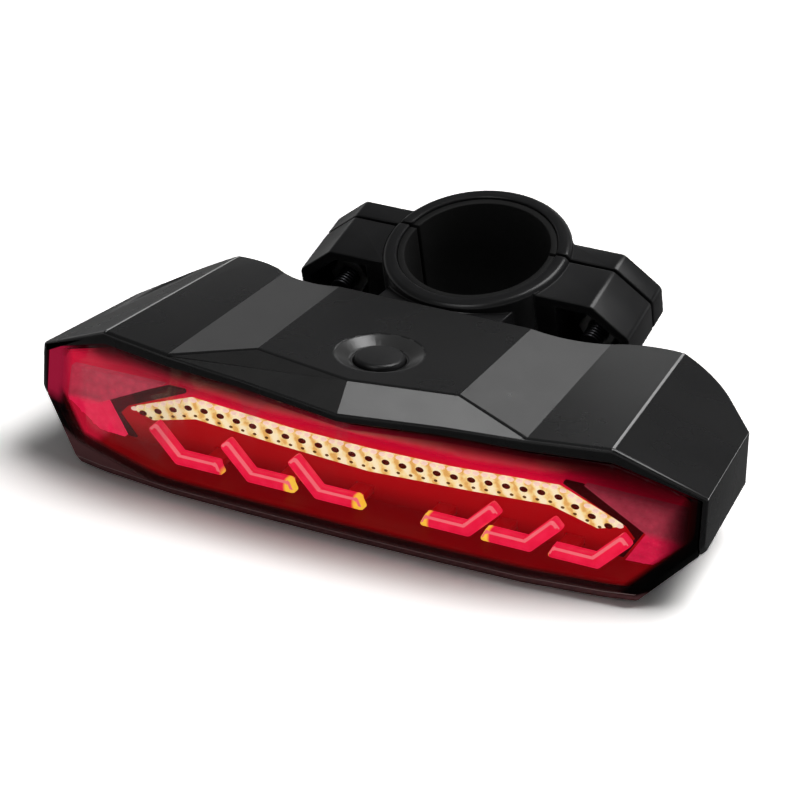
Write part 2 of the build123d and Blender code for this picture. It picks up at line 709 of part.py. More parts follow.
with BuildPart() as charge_board:
    with BuildSketch(level(charge_board_top)):
        with Locations((PORT_X, PORT_FLOOR - PORT_WALL - FLAP_FIT - CHARGE_BOARD_DEPTH / 2)):
            Rectangle(CHARGE_BOARD_WIDTH, CHARGE_BOARD_DEPTH)
        with Locations(*charge_screws_at):
            Circle(BOARD_SCREW_RADIUS + MATE_FIT, mode=Mode.SUBTRACT)
    extrude(amount=-BOARD_THICK)
finish(charge_board, "charge_board")


def screw(plane, head_radius, head_height, radius, length):
    """Pan-head screw: the head stands on the plane, the shank runs the other way."""
    with BuildPart() as body:
        with BuildSketch(plane):
            Circle(head_radius)
        extrude(amount=head_height)
        with BuildSketch(plane):
            Circle(radius)
        extrude(amount=-length)
        with BuildSketch(plane.offset(head_height)):
            RegularPolygon(radius, 6)
        extrude(amount=-head_height / 2, mode=Mode.SUBTRACT)
    return body.part


def turned(plane, place, flip=False):
    """The plane moved to one place on it, turned over where the screw comes from behind."""
    origin = plane.from_local_coords(Vector(*place, 0))
    facing = -plane.z_dir if flip else plane.z_dir
    return Plane(origin=origin, x_dir=plane.x_dir, z_dir=facing)


with BuildPart() as board_screws:
    sizes = (BOARD_SCREW_HEAD, BOARD_HEAD_HEIGHT, BOARD_SCREW_RADIUS, BOARD_SCREW_LENGTH)
    for place in main_screws_at:
        add(screw(turned(level(MAIN_BOARD_TOP - BOARD_THICK), place, flip=True), *sizes))
    for place in led_screws_at:
        add(screw(turned(upright(LED_BOARD_FRONT), place), *sizes))
    for place in charge_screws_at:
        add(screw(turned(level(charge_board_top), place), *sizes))
finish(board_screws, "board_screws")

# Battery, carried by saddles on the base cover
with BuildPart() as battery:
    with BuildSketch(Plane.YZ.offset(BATTERY_X - BATTERY_LENGTH / 2)):
        with Locations((BAY_DEPTH - CLAMP_BACK, BATTERY_LEVEL - CLAMP_UP)):
            Circle(BATTERY_RADIUS)
    extrude(amount=BATTERY_LENGTH)
finish(battery, "battery")

saddle_width = BAY_WIDTH - 2 * SADDLE_FIT - 2 * COVER_FIT
with BuildPart() as base_cover:
    with BuildSketch(level(LAMP_FLOOR)):
        with Locations((0, BAY_DEPTH)):
            RectangleRounded(cover_length, cover_width, COVER_ROUND)
    extrude(amount=COVER_THICK)
    with BuildSketch(level(cover_top)):
        with Locations(*[(BATTERY_X + side * BATTERY_LENGTH / 3, BAY_DEPTH) for side in (-1, 1)]):
            Rectangle(SADDLE_THICK, saddle_width)
    extrude(amount=SADDLE_TOP - cover_top)
    with BuildSketch(Plane.YZ.offset(-REACH)):
        with Locations((BAY_DEPTH - CLAMP_BACK, BATTERY_LEVEL - CLAMP_UP)):
            Circle(BATTERY_RADIUS + SADDLE_FIT)
    extrude(amount=2 * REACH, mode=Mode.SUBTRACT)
    for place in cover_screws_at:
        with Locations(turned(level(LAMP_FLOOR), place, flip=True)):
            CounterSinkHole(COVER_SCREW_RADIUS + MATE_FIT, COVER_SCREW_HEAD + MATE_FIT, COVER_THICK)
    with BuildSketch(level(LAMP_FLOOR)):
        with Locations((BUZZER_X, BAY_DEPTH)):
            Circle(SOUND_HOLE)
            with PolarLocations(SOUND_RING, SOUND_HOLES):
                Circle(SOUND_HOLE)
    extrude(amount=COVER_THICK, mode=Mode.SUBTRACT)
finish(base_cover, "base_cover")

with BuildPart() as cover_gasket:
    with BuildSketch(level(cover_top)):
        with Locations((0, BAY_DEPTH)):
            RectangleRounded(groove_length - 2 * GASKET_FIT, cover_width - 2 * GASKET_FIT, COVER_ROUND)
            RectangleRounded(
                2 * (BAY_HALF + GASKET_FIT), BAY_WIDTH + 2 * GASKET_FIT, COVER_ROUND, mode=Mode.SUBTRACT
            )
    extrude(amount=GASKET_THICK)
finish(cover_gasket, "cover_gasket")

with BuildPart() as cover_screws:
    cone = COVER_SCREW_HEAD - COVER_SCREW_RADIUS
    for place in cover_screws_at:
        spot = turned(level(LAMP_FLOOR), place)
        upright_spot = Plane(origin=spot.origin, x_dir=(1, 0, 0), z_dir=(0, -1, 0))
        with BuildSketch(upright_spot):
            with BuildLine():
                Polyline(
                    (0, 0), (COVER_SCREW_HEAD, 0), (COVER_SCREW_RADIUS, cone),
                    (COVER_SCREW_RADIUS, COVER_SCREW_LENGTH), (0, COVER_SCREW_LENGTH), close=True,
                )
            make_face()
        revolve(axis=Axis(spot.origin, (0, 0, 1)))
        with BuildSketch(spot):
            RegularPolygon(DRIVE_RADIUS, 6)
        extrude(amount=DRIVE_DEEP, mode=Mode.SUBTRACT)
finish(cover_screws, "cover_screws")

# Button, its switch and the switch's plunger
flange_top = button_seat - PLUNGER_FIT
stem_foot = flange_top - BUTTON_FLANGE_THICK - STEM_LENGTH
with BuildPart() as power_button:
    with BuildSketch(level(flange_top)):
        with Locations((0, BUTTON_DEPTH)):
            Circle(BUTTON_FLANGE)
    extrude(amount=-BUTTON_FLANGE_THICK)
    with BuildSketch(level(flange_top)):
        with Locations((0, BUTTON_DEPTH)):
            Circle(BUTTON_RADIUS)
    extrude(amount=PLATEAU_TOP - DISH_DEEP + BUTTON_PROUD - flange_top)
    chamfer(power_button.faces().sort_by(Axis.Z)[-1].edges(), BUTTON_PROUD / 2)
    with BuildSketch(level(flange_top - BUTTON_FLANGE_THICK)):
        with Locations((0, BUTTON_DEPTH)):
            Circle(STEM_RADIUS)
    extrude(amount=-STEM_LENGTH)
finish(power_button, "power_button")

plunger_top = stem_foot - PLUNGER_FIT
with BuildPart() as tact_switch:
    with BuildSketch(level(MAIN_BOARD_TOP)):
        with Locations((0, BUTTON_DEPTH)):
            Rectangle(SWITCH_SIZE, SWITCH_SIZE)
    extrude(amount=SWITCH_HEIGHT)
    with BuildSketch(level(plunger_top - PLUNGER_LENGTH - BUTTON_TRAVEL - PLUNGER_FIT)):
        with Locations((0, BUTTON_DEPTH)):
            Circle(PLUNGER_RADIUS + PLUNGER_FIT)
    extrude(amount=SWITCH_HEIGHT, mode=Mode.SUBTRACT)
finish(tact_switch, "tact_switch")

with BuildPart() as switch_plunger:
    with BuildSketch(level(plunger_top)):
        with Locations((0, BUTTON_DEPTH)):
            Circle(PLUNGER_RADIUS)
    extrude(amount=-PLUNGER_LENGTH)
finish(switch_plunger, "switch_plunger")

# Charging port and its rubber flap
with BuildPart() as charge_port:
    with BuildSketch(upright(PORT_FLOOR)):
        with Locations((PORT_X, PORT_LEVEL)):
            SlotOverall(PORT_WIDTH, PORT_HEIGHT)
    extrude(amount=PORT_LENGTH)
    with BuildSketch(upright(PORT_FLOOR)):
        with Locations((PORT_X, PORT_LEVEL)):
            SlotOverall(PORT_WIDTH - 2 * PORT_SHEET, PORT_HEIGHT - 2 * PORT_SHEET)
    extrude(amount=PORT_LENGTH - PORT_BACK, mode=Mode.SUBTRACT)
    with BuildSketch(upright(PORT_FLOOR - PLUG_LENGTH - PORT_FIT)):
        with Locations((PORT_X, PORT_LEVEL)):
            Rectangle(TONGUE_WIDTH, TONGUE_THICK)
    extrude(amount=PORT_LENGTH - PLUG_LENGTH - PORT_BACK)
finish(charge_port, "charge_port")

flap_inner = PORT_FLOOR + PORT_FIT
with BuildPart() as port_cover:
    with BuildSketch(upright(flap_inner)):
        with Locations((PORT_X, PORT_LEVEL)):
            Rectangle(FLAP_WIDTH, FLAP_HEIGHT)
    extrude(amount=-FLAP_THICK)
    with BuildSketch(upright(flap_inner)):
        with Locations((PORT_X, PORT_LEVEL)):
            SlotOverall(PLUG_WIDTH, PLUG_HEIGHT)
    extrude(amount=PLUG_LENGTH)
    with BuildSketch(Plane.YZ.offset(PORT_X - FLAP_WIDTH / 2)):
        with Locations((flap_inner + FLAP_THICK / 2 - CLAMP_BACK, PORT_LEVEL - FLAP_HEIGHT / 2 - CLAMP_UP)):
            Circle(FLAP_THICK / 2)
    extrude(amount=FLAP_WIDTH)
finish(port_cover, "port_cover")

# Clamp: front half with its foot and cup-shaped ears, rear half with flat ears
ring_outer = POST_RADIUS + PAD_THICK + PAD_FIT + RING_WALL
pad_seat = POST_RADIUS + PAD_THICK + PAD_FIT
front_split = SPLIT_BACK - SPLIT_GAP / 2
rear_split = SPLIT_BACK + SPLIT_GAP / 2
clamp_screws_at = along_x(SCREW_SPREAD, 0)


def ears_at(back):
    """Plane square to the clamp screws, behind the bore's centre by a distance."""
    return EARS.offset(-back)


def ear_face(back):
    """Outline of both ears from the front, with slanted outer corners."""
    half = [
        (0, EAR_HALF_HEIGHT),
        (EAR_SHOULDER, EAR_HALF_HEIGHT),
        (EAR_REACH, EAR_TIP_HALF),
        (EAR_REACH, -EAR_TIP_HALF),
        (EAR_SHOULDER, -EAR_HALF_HEIGHT),
        (0, -EAR_HALF_HEIGHT),
    ]
    with BuildSketch(ears_at(back)) as face:
        with BuildLine():
            Polyline(*half)
            mirror(about=Plane.YZ)
        make_face()
        fillet(face.vertices().filter_by(lambda corner: abs(corner.X) > EAR_SHOULDER / 2), EAR_ROUND)
    return face.sketch


with BuildPart() as foot:
    with BuildSketch(upright(REAR)):
        with Locations((0, (FOOT_TOP + FOOT_BOTTOM) / 2)):
            Rectangle(2 * FOOT_HALF, FOOT_TOP - FOOT_BOTTOM)
    extrude(amount=-(CLAMP_BACK - REAR))
    with BuildSketch(POST.offset(-RING_HEIGHT / 2 + RIM_EDGE)):
        Rectangle(2 * REACH, 2 * REACH)
    extrude(amount=RING_HEIGHT - 2 * RIM_EDGE, mode=Mode.INTERSECT)

with BuildPart() as clamp_front:
    with BuildSketch(POST.offset(-RING_HEIGHT / 2)):
        Circle(ring_outer)
    extrude(amount=RING_HEIGHT)
    chamfer(clamp_front.edges().filter_by(GeomType.CIRCLE), RIM_EDGE)
    extrude(ear_face(front_split), amount=FRONT_EAR_DEPTH)
    add(foot.part)
    with BuildSketch(ears_at(front_split)):
        Rectangle(2 * REACH, 2 * REACH)
    extrude(amount=-REACH, mode=Mode.SUBTRACT)
    with BuildSketch(POST.offset(-RING_HEIGHT)):
        Circle(pad_seat)
    extrude(amount=2 * RING_HEIGHT, mode=Mode.SUBTRACT)
    # Nut pockets, open to the front
    pocket_in = ring_outer + POCKET_CLEAR
    pocket_half = EAR_HALF_HEIGHT - EAR_WALL
    pocket_tip = EAR_REACH - EAR_WALL
    for side in (-1, 1):
        with BuildSketch(ears_at(front_split - EAR_FLOOR)):
            with BuildLine():
                Polyline(
                    (side * pocket_in, pocket_half),
                    (side * (EAR_SHOULDER - EAR_WALL / 2), pocket_half),
                    (side * pocket_tip, EAR_TIP_HALF - EAR_WALL / 2),
                    (side * pocket_tip, EAR_WALL / 2 - EAR_TIP_HALF),
                    (side * (EAR_SHOULDER - EAR_WALL / 2), -pocket_half),
                    (side * pocket_in, -pocket_half),
                    close=True,
                )
            make_face()
        extrude(amount=FRONT_EAR_DEPTH, mode=Mode.SUBTRACT)
    with BuildSketch(ears_at(front_split)):
        with Locations(*clamp_screws_at):
            Circle(SCREW_HOLE)
    extrude(amount=EAR_FLOOR, mode=Mode.SUBTRACT)
    with BuildSketch(upright(REAR)):
        with Locations(*along_x(BRACKET_SPREAD, BRACKET_LEVEL)):
            Circle(BRACKET_RADIUS + MATE_FIT)
    extrude(amount=-(BRACKET_LENGTH - REAR_WALL), mode=Mode.SUBTRACT)
finish(clamp_front, "clamp_front")

with BuildPart() as clamp_rear:
    with BuildSketch(POST.offset(-RING_HEIGHT / 2)):
        Circle(ring_outer)
    extrude(amount=RING_HEIGHT)
    chamfer(clamp_rear.edges().filter_by(GeomType.CIRCLE), RIM_EDGE)
    extrude(ear_face(rear_split), amount=-REAR_EAR_DEPTH)
    with BuildSketch(ears_at(rear_split)):
        Rectangle(2 * REACH, 2 * REACH)
    extrude(amount=REACH, mode=Mode.SUBTRACT)
    with BuildSketch(POST.offset(-RING_HEIGHT)):
        Circle(pad_seat)
    extrude(amount=2 * RING_HEIGHT, mode=Mode.SUBTRACT)
    with BuildSketch(ears_at(rear_split)):
        with Locations(*clamp_screws_at):
            Circle(SCREW_HOLE)
    extrude(amount=-REAR_EAR_DEPTH, mode=Mode.SUBTRACT)
finish(clamp_rear, "clamp_rear")

for side, name, split_at in ((1, "front_clamp_pad", front_split), (-1, "rear_clamp_pad", rear_split)):
    with BuildPart() as pad:
        with BuildSketch(POST.offset(-RING_HEIGHT / 2 + PAD_SHORT)):
            Circle(POST_RADIUS + PAD_THICK)
            Circle(POST_RADIUS, mode=Mode.SUBTRACT)
        extrude(amount=RING_HEIGHT - 2 * PAD_SHORT)
        with BuildSketch(ears_at(split_at - side * PAD_FIT)):
            Rectangle(2 * REACH, 2 * REACH)
        extrude(amount=-side * REACH, mode=Mode.SUBTRACT)
    finish(pad, name)

head_seat = rear_split + REAR_EAR_DEPTH
for side, name in ((-1, "left_clamp_screw"), (1, "right_clamp_screw")):
    with BuildPart() as clamp_screw:
        with BuildSketch(ears_at(head_seat)):
            with Locations((side * SCREW_SPREAD, 0)):
                Circle(HEAD_RADIUS)
        extrude(amount=-HEAD_HEIGHT)
        with BuildSketch(ears_at(head_seat)):
            with Locations((side * SCREW_SPREAD, 0)):
                Circle(SCREW_RADIUS)
        extrude(amount=SCREW_LENGTH)
        with BuildSketch(ears_at(head_seat + HEAD_HEIGHT)):
            with Locations((side * SCREW_SPREAD, 0)):
                RegularPolygon(HEX_SOCKET, 6)
        extrude(amount=HEX_DEPTH, mode=Mode.SUBTRACT)
    finish(clamp_screw, name)

with BuildPart() as clamp_nuts:
    with BuildSketch(ears_at(front_split - EAR_FLOOR)):
        with Locations(*clamp_screws_at):
            RegularPolygon(NUT_FLATS / 2, 6, major_radius=False)
            Circle(NUT_BORE, mode=Mode.SUBTRACT)
    extrude(amount=NUT_THICK)
finish(clamp_nuts, "clamp_nuts")

with BuildPart() as bracket_screws:
    sizes = (BRACKET_HEAD, BRACKET_HEAD_HEIGHT, BRACKET_RADIUS, BRACKET_LENGTH)
    for place in along_x(BRACKET_SPREAD, BRACKET_LEVEL):
        add(screw(turned(upright(REAR - REAR_WALL), place), *sizes))
finish(bracket_screws, "bracket_screws")
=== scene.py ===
from math import cos, pi, radians, sin

import bmesh
import bpy
from mathutils import Matrix, Vector


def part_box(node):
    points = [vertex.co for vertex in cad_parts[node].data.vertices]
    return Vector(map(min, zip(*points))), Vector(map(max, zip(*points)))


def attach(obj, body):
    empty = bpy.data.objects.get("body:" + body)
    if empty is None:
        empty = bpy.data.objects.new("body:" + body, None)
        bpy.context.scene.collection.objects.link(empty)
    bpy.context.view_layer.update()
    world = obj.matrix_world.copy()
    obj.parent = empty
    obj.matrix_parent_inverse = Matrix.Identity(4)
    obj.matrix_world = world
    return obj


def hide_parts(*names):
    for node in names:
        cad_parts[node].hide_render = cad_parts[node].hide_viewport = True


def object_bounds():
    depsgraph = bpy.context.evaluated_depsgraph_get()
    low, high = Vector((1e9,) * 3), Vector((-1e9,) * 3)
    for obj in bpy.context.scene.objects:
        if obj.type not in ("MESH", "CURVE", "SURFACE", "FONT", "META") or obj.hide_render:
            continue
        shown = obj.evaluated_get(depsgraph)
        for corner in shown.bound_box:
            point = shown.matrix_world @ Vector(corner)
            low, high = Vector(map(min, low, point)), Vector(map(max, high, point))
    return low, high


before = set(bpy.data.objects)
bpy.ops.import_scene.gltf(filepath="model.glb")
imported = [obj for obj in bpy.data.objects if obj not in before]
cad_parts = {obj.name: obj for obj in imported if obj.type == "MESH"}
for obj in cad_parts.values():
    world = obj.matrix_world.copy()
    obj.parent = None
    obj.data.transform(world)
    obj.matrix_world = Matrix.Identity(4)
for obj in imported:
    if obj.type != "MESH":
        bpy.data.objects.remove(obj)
cad_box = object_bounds()

# The view: from the right and above through a long lens, close round the lamp.
VIEW_PLACE = (0.2265, -0.508968, 0.246618)
VIEW_TURN, VIEW_DROP, VIEW_LEAN = 25.54, 25.75, 1.37  # degrees to the right, downwards and sideways


def put(name, data):
    """A new object in the scene."""
    made = bpy.data.objects.new(name, data)
    bpy.context.collection.objects.link(made)
    return made


camera = put("camera", bpy.data.cameras.new("camera"))
camera.data.lens = 146.1
camera.data.clip_start = 0.05
camera.matrix_world = (
    Matrix.Translation(VIEW_PLACE)
    @ Matrix.Rotation(radians(VIEW_TURN), 4, "Z")
    @ Matrix.Rotation(radians(90 - VIEW_DROP), 4, "X")
    @ Matrix.Rotation(radians(VIEW_LEAN), 4, "Z")
)
bpy.context.scene.camera = camera
bpy.context.scene.view_settings.view_transform = "Standard"

# Floor: a sheet of matt white paper that the lamp stands on, wide enough to have no edge in view.
# Shiny surfaces mirror it as a dark table, which keeps the lens free of haze.
PAPER_HALF = 4.0
PAPER_SEEN = (1.95, 1.92, 1.9, 1)  # past white, so that only the shadow on it is grey


def srgb(code):
    """Linear colour of an sRGB hex value."""
    parts = [int(code[start:start + 2], 16) / 255 for start in (1, 3, 5)]
    return (*[((part + 0.055) / 1.055) ** 2.4 if part > 0.04045 else part / 12.92 for part in parts], 1)


def add_node(tree, kind, inputs=None, **settings):
    """One node with its settings. Inputs go by name or number, as values or as sockets to link from.
    A Mix of colours takes them at 6 and 7 and gives the blend at output 2."""
    made = tree.nodes.new(kind)
    for name, value in settings.items():
        setattr(made, name, value)
    for key, value in (inputs or {}).items():
        if isinstance(value, bpy.types.NodeSocket):
            tree.links.new(value, made.inputs[key])
        else:
            made.inputs[key].default_value = value
    return made


def start_material(name):
    """An empty material and its node tree."""
    made = bpy.data.materials.new(name)
    made.use_nodes = True
    made.node_tree.nodes.clear()
    return made, made.node_tree


paper_level = cad_box[0][2]
corners = [(x * PAPER_HALF, y * PAPER_HALF, paper_level) for x, y in ((-1, -1), (1, -1), (1, 1), (-1, 1))]
floor_mesh = bpy.data.meshes.new("paper_floor")
floor_mesh.from_pydata(corners, [], [(0, 1, 2, 3)])
floor = put("paper_floor", floor_mesh)
paper, tree = start_material("matt_white_paper")
ray = add_node(tree, "ShaderNodeLightPath")
direct = add_node(tree, "ShaderNodeMix", {
    "Factor": ray.outputs["Is Camera Ray"], 6: srgb("#f0f0f0"), 7: PAPER_SEEN}, data_type="RGBA")
seen = add_node(tree, "ShaderNodeMix", {
    "Factor": ray.outputs["Is Glossy Ray"], 6: direct.outputs[2], 7: srgb("#747474")}, data_type="RGBA")
matt = add_node(tree, "ShaderNodeBsdfDiffuse", {"Color": seen.outputs[2]})
add_node(tree, "ShaderNodeOutputMaterial", {"Surface": matt.outputs[0]})
floor_mesh.materials.append(paper)

# Studio: white walls at the horizon under a dimmer ceiling, an overhead softbox that throws the
# shadow forward, and two small ones that the right panel and the right half of the band mirror. Those
# two show in shiny surfaces alone.
WALL_LIGHT, CEILING_LIGHT = 0.9, 0.12
SOFTBOX_AIM = Vector((0, -0.03, 0))


def glow(tree, seen, thrown):
    """A light's strength: what the eye and shiny surfaces see, and what it throws on dull ones."""
    ray = add_node(tree, "ShaderNodeLightPath")
    return add_node(tree, "ShaderNodeMath", {
        0: ray.outputs["Is Diffuse Ray"], 1: thrown - seen, 2: seen}, operation="MULTIPLY_ADD").outputs[0]


studio = bpy.data.worlds.new("studio")
bpy.context.scene.world = studio
studio.use_nodes = True
tree = studio.node_tree
tree.nodes.clear()
sky = add_node(tree, "ShaderNodeTexCoord")
height = add_node(tree, "ShaderNodeSeparateXYZ", {"Vector": sky.outputs["Generated"]})
fade = add_node(tree, "ShaderNodeMapRange", {
    "Value": height.outputs["Z"], "From Min": 0.05, "From Max": 0.30,
    "To Min": WALL_LIGHT, "To Max": CEILING_LIGHT})
# The walls light the paper and the dull surfaces at half strength, so that the shadow stays dark
strength = add_node(tree, "ShaderNodeMath", {
    0: fade.outputs["Result"], 1: glow(tree, seen=1.0, thrown=0.5)}, operation="MULTIPLY")
walls = add_node(tree, "ShaderNodeBackground", {"Color": (1, 1, 1, 1), "Strength": strength.outputs[0]})
add_node(tree, "ShaderNodeOutputWorld", {"Surface": walls.outputs[0]})

# name: direction from the lamp, distance, width, height, watts
softboxes = {
    "overhead_softbox": ((0.35, 0.30, 0.90), 1.2, 0.7, 0.7, 11.0),
    "back_softbox": ((-0.20, 0.82, 0.54), 2.0, 0.26, 0.26, 0.62),
    "front_softbox": ((-0.06, -0.67, 0.74), 1.0, 0.34, 0.34, 1.9),
}
for name, (direction, distance, width, tall, watts) in softboxes.items():
    softbox = put(name, bpy.data.lights.new(name, "AREA"))
    softbox.data.shape = "RECTANGLE"
    softbox.data.size, softbox.data.size_y = width, tall
    softbox.data.energy = watts
    softbox.visible_diffuse = name == "overhead_softbox"
    towards = Vector(direction).normalized()
    softbox.location = towards * distance + SOFTBOX_AIM
    softbox.rotation_euler = towards.to_track_quat("Z", "Y").to_euler()

# Shell: black ABS, injection moulded against a finely spark-eroded die. The grain spreads the
# shine, so each flat facet shows as its own even grey and only the rounded corners glint.
SHELL_CORNER = 0.00035
SAME_PLACE = 1e-6  # points nearer than this are one
SAME_PLANE = radians(0.5)  # facets that turn by less are one
WALL_RIDGE = radians(20)  # a sharper turn than this keeps its crease
TOP_RIDGE = radians(4)  # the same between two facets of the roof
ROOF_FACING = 0.8  # least upward part of a roof facet's normal
LEVEL = 0.97  # the same for a facet that is nearly level
LIT_FACETS, GLINT_EDGE = 1, 2  # places in the shell's list of materials
DISH_REACH = 0.009  # from the button's middle to past the dish's rim
DISH_FACING = 0.3  # least upward part of the dish's normals
PANEL_FACING = (0.12, 0.2)  # sideways part of the sloping panels' normals
PANEL_LEAST = 5e-6  # least area of a panel, in square metres
GLINT_FROM = 0.040  # the painted glints on the ends' edges start this far from the middle
GLINT_FACING = ((0.13, 0.28), (0.5, 0.95))  # sideways part of the normals along their middle
GLINT_UPWARD = 0.1  # least upward part of their normals
GLINT_ALONG = 0.7  # least share of their length that runs front to back
GLINT_WIDTH = 0.00026


def make_plain(piece):
    """Turns what a piece's modifiers give into its own mesh, and removes them."""
    piece.data = bpy.data.meshes.new_from_object(piece.evaluated_get(bpy.context.evaluated_depsgraph_get()))
    piece.modifiers.clear()


def softened(node, radius, name=None, least_angle=18, group=None):
    """A copy of a CAD node with its corners rounded. Neighbours of one group become one face first."""
    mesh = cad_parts[node].data.copy()
    work = bmesh.new()
    work.from_mesh(mesh)
    bmesh.ops.remove_doubles(work, verts=work.verts, dist=SAME_PLACE)
    bmesh.ops.dissolve_limit(work, angle_limit=SAME_PLANE, verts=work.verts, edges=work.edges)
    if group:
        inner = []
        for edge in work.edges:
            found = {group(face.normal, face.calc_center_median()) for face in edge.link_faces}
            if len(edge.link_faces) == 2 and len(found) == 1 and 0 not in found:
                inner.append(edge)
        bmesh.ops.dissolve_edges(work, edges=inner, use_verts=True)
    work.to_mesh(mesh)
    work.free()
    piece = put(name or node, mesh)
    rounding = piece.modifiers.new("rounding", "BEVEL")
    rounding.width = radius
    rounding.segments = 3
    rounding.limit_method = "ANGLE"
    rounding.angle_limit = radians(least_angle)
    rounding.use_clamp_overlap = False
    make_plain(piece)
    piece.data.shade_smooth()
    piece.data.set_sharp_from_angle(angle=WALL_RIDGE)
    piece.data.materials.clear()
    return piece


def fit(piece, node, body, slot, *materials):
    """Puts a finished piece on its body in place of a CAD node."""
    for material in materials:
        piece.data.materials.append(material)
    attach(piece, body)
    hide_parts(node)


def grained(name, low, high, rough, patch, grain, depth, **surface):
    """A material whose colour and shine drift over patches, with a fine grain in relief, all in mm."""
    made, tree = start_material(name)
    spot = add_node(tree, "ShaderNodeTexCoord").outputs["Object"]
    drift = add_node(tree, "ShaderNodeTexNoise", {"Vector": spot, "Scale": 1000 / patch, "Detail": 3.0})
    fine = add_node(tree, "ShaderNodeTexNoise", {"Vector": spot, "Scale": 1000 / grain, "Detail": 2.0})
    tone = add_node(tree, "ShaderNodeMix", {
        "Factor": drift.outputs["Fac"], 6: srgb(low), 7: srgb(high)}, data_type="RGBA")
    shine = add_node(tree, "ShaderNodeMapRange", {
        "Value": drift.outputs["Fac"], "To Min": rough[0], "To Max": rough[1]})
    relief = add_node(tree, "ShaderNodeBump", {
        "Height": fine.outputs["Fac"], "Strength": 0.2, "Distance": depth / 1000})
    coat = add_node(tree, "ShaderNodeBsdfPrincipled", {
        "Base Color": tone.outputs[2], "Roughness": shine.outputs["Result"],
        "Normal": relief.outputs["Normal"],
        **{key.replace("_", " "): value for key, value in surface.items()}})
    add_node(tree, "ShaderNodeOutputMaterial", {"Surface": coat.outputs[0]})
    return made


def longest_side(mesh, face):
    """The longest side of a face, as a vector."""
    sides = [mesh.vertices[a].co - mesh.vertices[b].co for a, b in face.edge_keys]
    return max(sides, key=lambda side: side.length)


# The melt's slow cloudiness is 15 mm across; the die's grain is drawn at 0.3 mm so that it shows
moulded_abs = grained("spark_eroded_abs", "#0c0c0d", "#131314", (0.24, 0.31), 15, 0.3, 0.03,
                      IOR=1.52, Specular_IOR_Level=0.4)
# The two sloping panels, the band over the lens and the button's dish have a finer grain and are painted
# paler: a painted highlight for the light they catch
lit_facet_abs = grained("fine_grain_abs_painted_light", "#2e2e2e", "#3a3a3a", (0.26, 0.32), 4, 0.25, 0.03,
                     IOR=1.52, Specular_IOR_Level=0.6)
# The ends' edges that run front to back are painted pale and glossier: a painted highlight along them
edge_glint_abs = grained("painted_glint_abs_edge", "#9a9a9a", "#bcbcbc", (0.18, 0.28), 3, 0.2, 0.01, IOR=1.52)

# The band over the lens is two flat facets that meet in the middle, between these lines in mm
nose_line = [(0, 10.0), (19.6, 10.0), (34.4, 7.7)]
brow_line = [(0, 4.8), (19.6, 6.5), (34.4, 7.2)]
LINE_SLACK = 0.05
BAND_END, BAND_DEPTH = 34.6, 7  # its reach to each side and backwards, also in mm
BAND_FORWARD, BAND_UPWARD = -0.2, 0.3  # its normals point further forwards and upwards than this
BAND_FACING = (0.143, -0.777, 0.613)  # the right half's normal; the left half mirrors it
BAND_LEAST = 2e-5  # least area of a half, in square metres


def lamp_point(x, y, z):
    """A place given in mm from the front top corners of the lamp's ends."""
    return Vector((x, y - 49.868, z - 3.832)) / 1000


def height_on(line, x):
    """Height in mm of a line of points at a distance from the middle."""
    for (x0, z0), (x1, z1) in zip(line, line[1:]):
        if x <= x1:
            return z0 + (z1 - z0) * (x - x0) / (x1 - x0)
    return line[-1][1]


def band_half(normal, middle):
    """1 or -1 for a face on the right or left half of the band, 0 for any other."""
    x, z = abs(middle.x) * 1000, (middle.z - lamp_point(0, 0, 0).z) * 1000
    facing = normal.y < BAND_FORWARD and normal.z > BAND_UPWARD
    within = x < BAND_END and middle.y < lamp_point(0, BAND_DEPTH, 0).y
    between = height_on(brow_line, x) - LINE_SLACK < z < height_on(nose_line, x) + LINE_SLACK
    if facing and within and between:
        return 1 if middle.x > 0 else -1
    return 0


shell = softened("housing", SHELL_CORNER, "shell", group=band_half)
work = bmesh.new()
work.from_mesh(shell.data)
for edge in work.edges:
    if len(edge.link_faces) == 2 and all(face.normal.z > ROOF_FACING for face in edge.link_faces):
        if edge.calc_face_angle() > TOP_RIDGE:
            edge.smooth = False
work.to_mesh(shell.data)
work.free()
normals = [corner.vector.copy() for corner in shell.data.corner_normals]
button_low, button_high = (Vector(corner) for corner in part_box("power_button"))
for face in shell.data.polygons:
    sideways, upward = abs(face.normal.x), face.normal.z
    from_button = (face.center - (button_low + button_high) / 2).to_2d().length
    on_dish = from_button < DISH_REACH and DISH_FACING < upward < LEVEL and face.center.z > button_low.z
    on_panel = upward > LEVEL and PANEL_FACING[0] < sideways < PANEL_FACING[1] and face.area > PANEL_LEAST
    # The dish and the sloping panels take the paler material, painted light
    if on_dish or on_panel:
        face.material_index = LIT_FACETS
    along = longest_side(shell.data, face)
    front_to_back = abs(along.y) > GLINT_ALONG * along.length
    # Painted highlight: narrow strips along the ends' edges take the pale material
    if front_to_back and abs(face.center.x) > GLINT_FROM and upward > GLINT_UPWARD:
        on_middle = any(low < sideways < high for low, high in GLINT_FACING)
        if on_middle and face.area / along.length < GLINT_WIDTH:
            face.material_index = GLINT_EDGE
    half = band_half(face.normal, face.center)
    # Both halves of the band take the paler material too, painted light, and each gets the even normal of
    # its facet
    if half and face.area > BAND_LEAST:
        face.material_index = LIT_FACETS
        for corner in face.loop_indices:
            normals[corner] = Vector((BAND_FACING[0] * half, *BAND_FACING[1:]))
shell.data.normals_split_custom_set(normals)
fit(shell, "housing", "lamp", "black_shell", moulded_abs, lit_facet_abs, edge_glint_abs)

# Lens: polycarbonate, injection moulded and polished on both sides, glued into the shell's front.
# It is clear over the bar and arrows; painted shade darkens its tint towards the top, the right end, the
# foot and the lower corners.
LENS_CORNER = 0.0003
FOOT_GLINTS = 1  # place in the lens's list of materials
FOOT_TOP = -17  # in mm, the foot's edges are below it
FOOT_FACING = ((-0.36, -0.25), (-0.93, -0.86))  # upward part of the normals along the middle of its edges
FOOT_EDGE_WIDTH = 0.00025
POLISH_WAVES = 90.0  # to the metre, so that each is 11 mm long

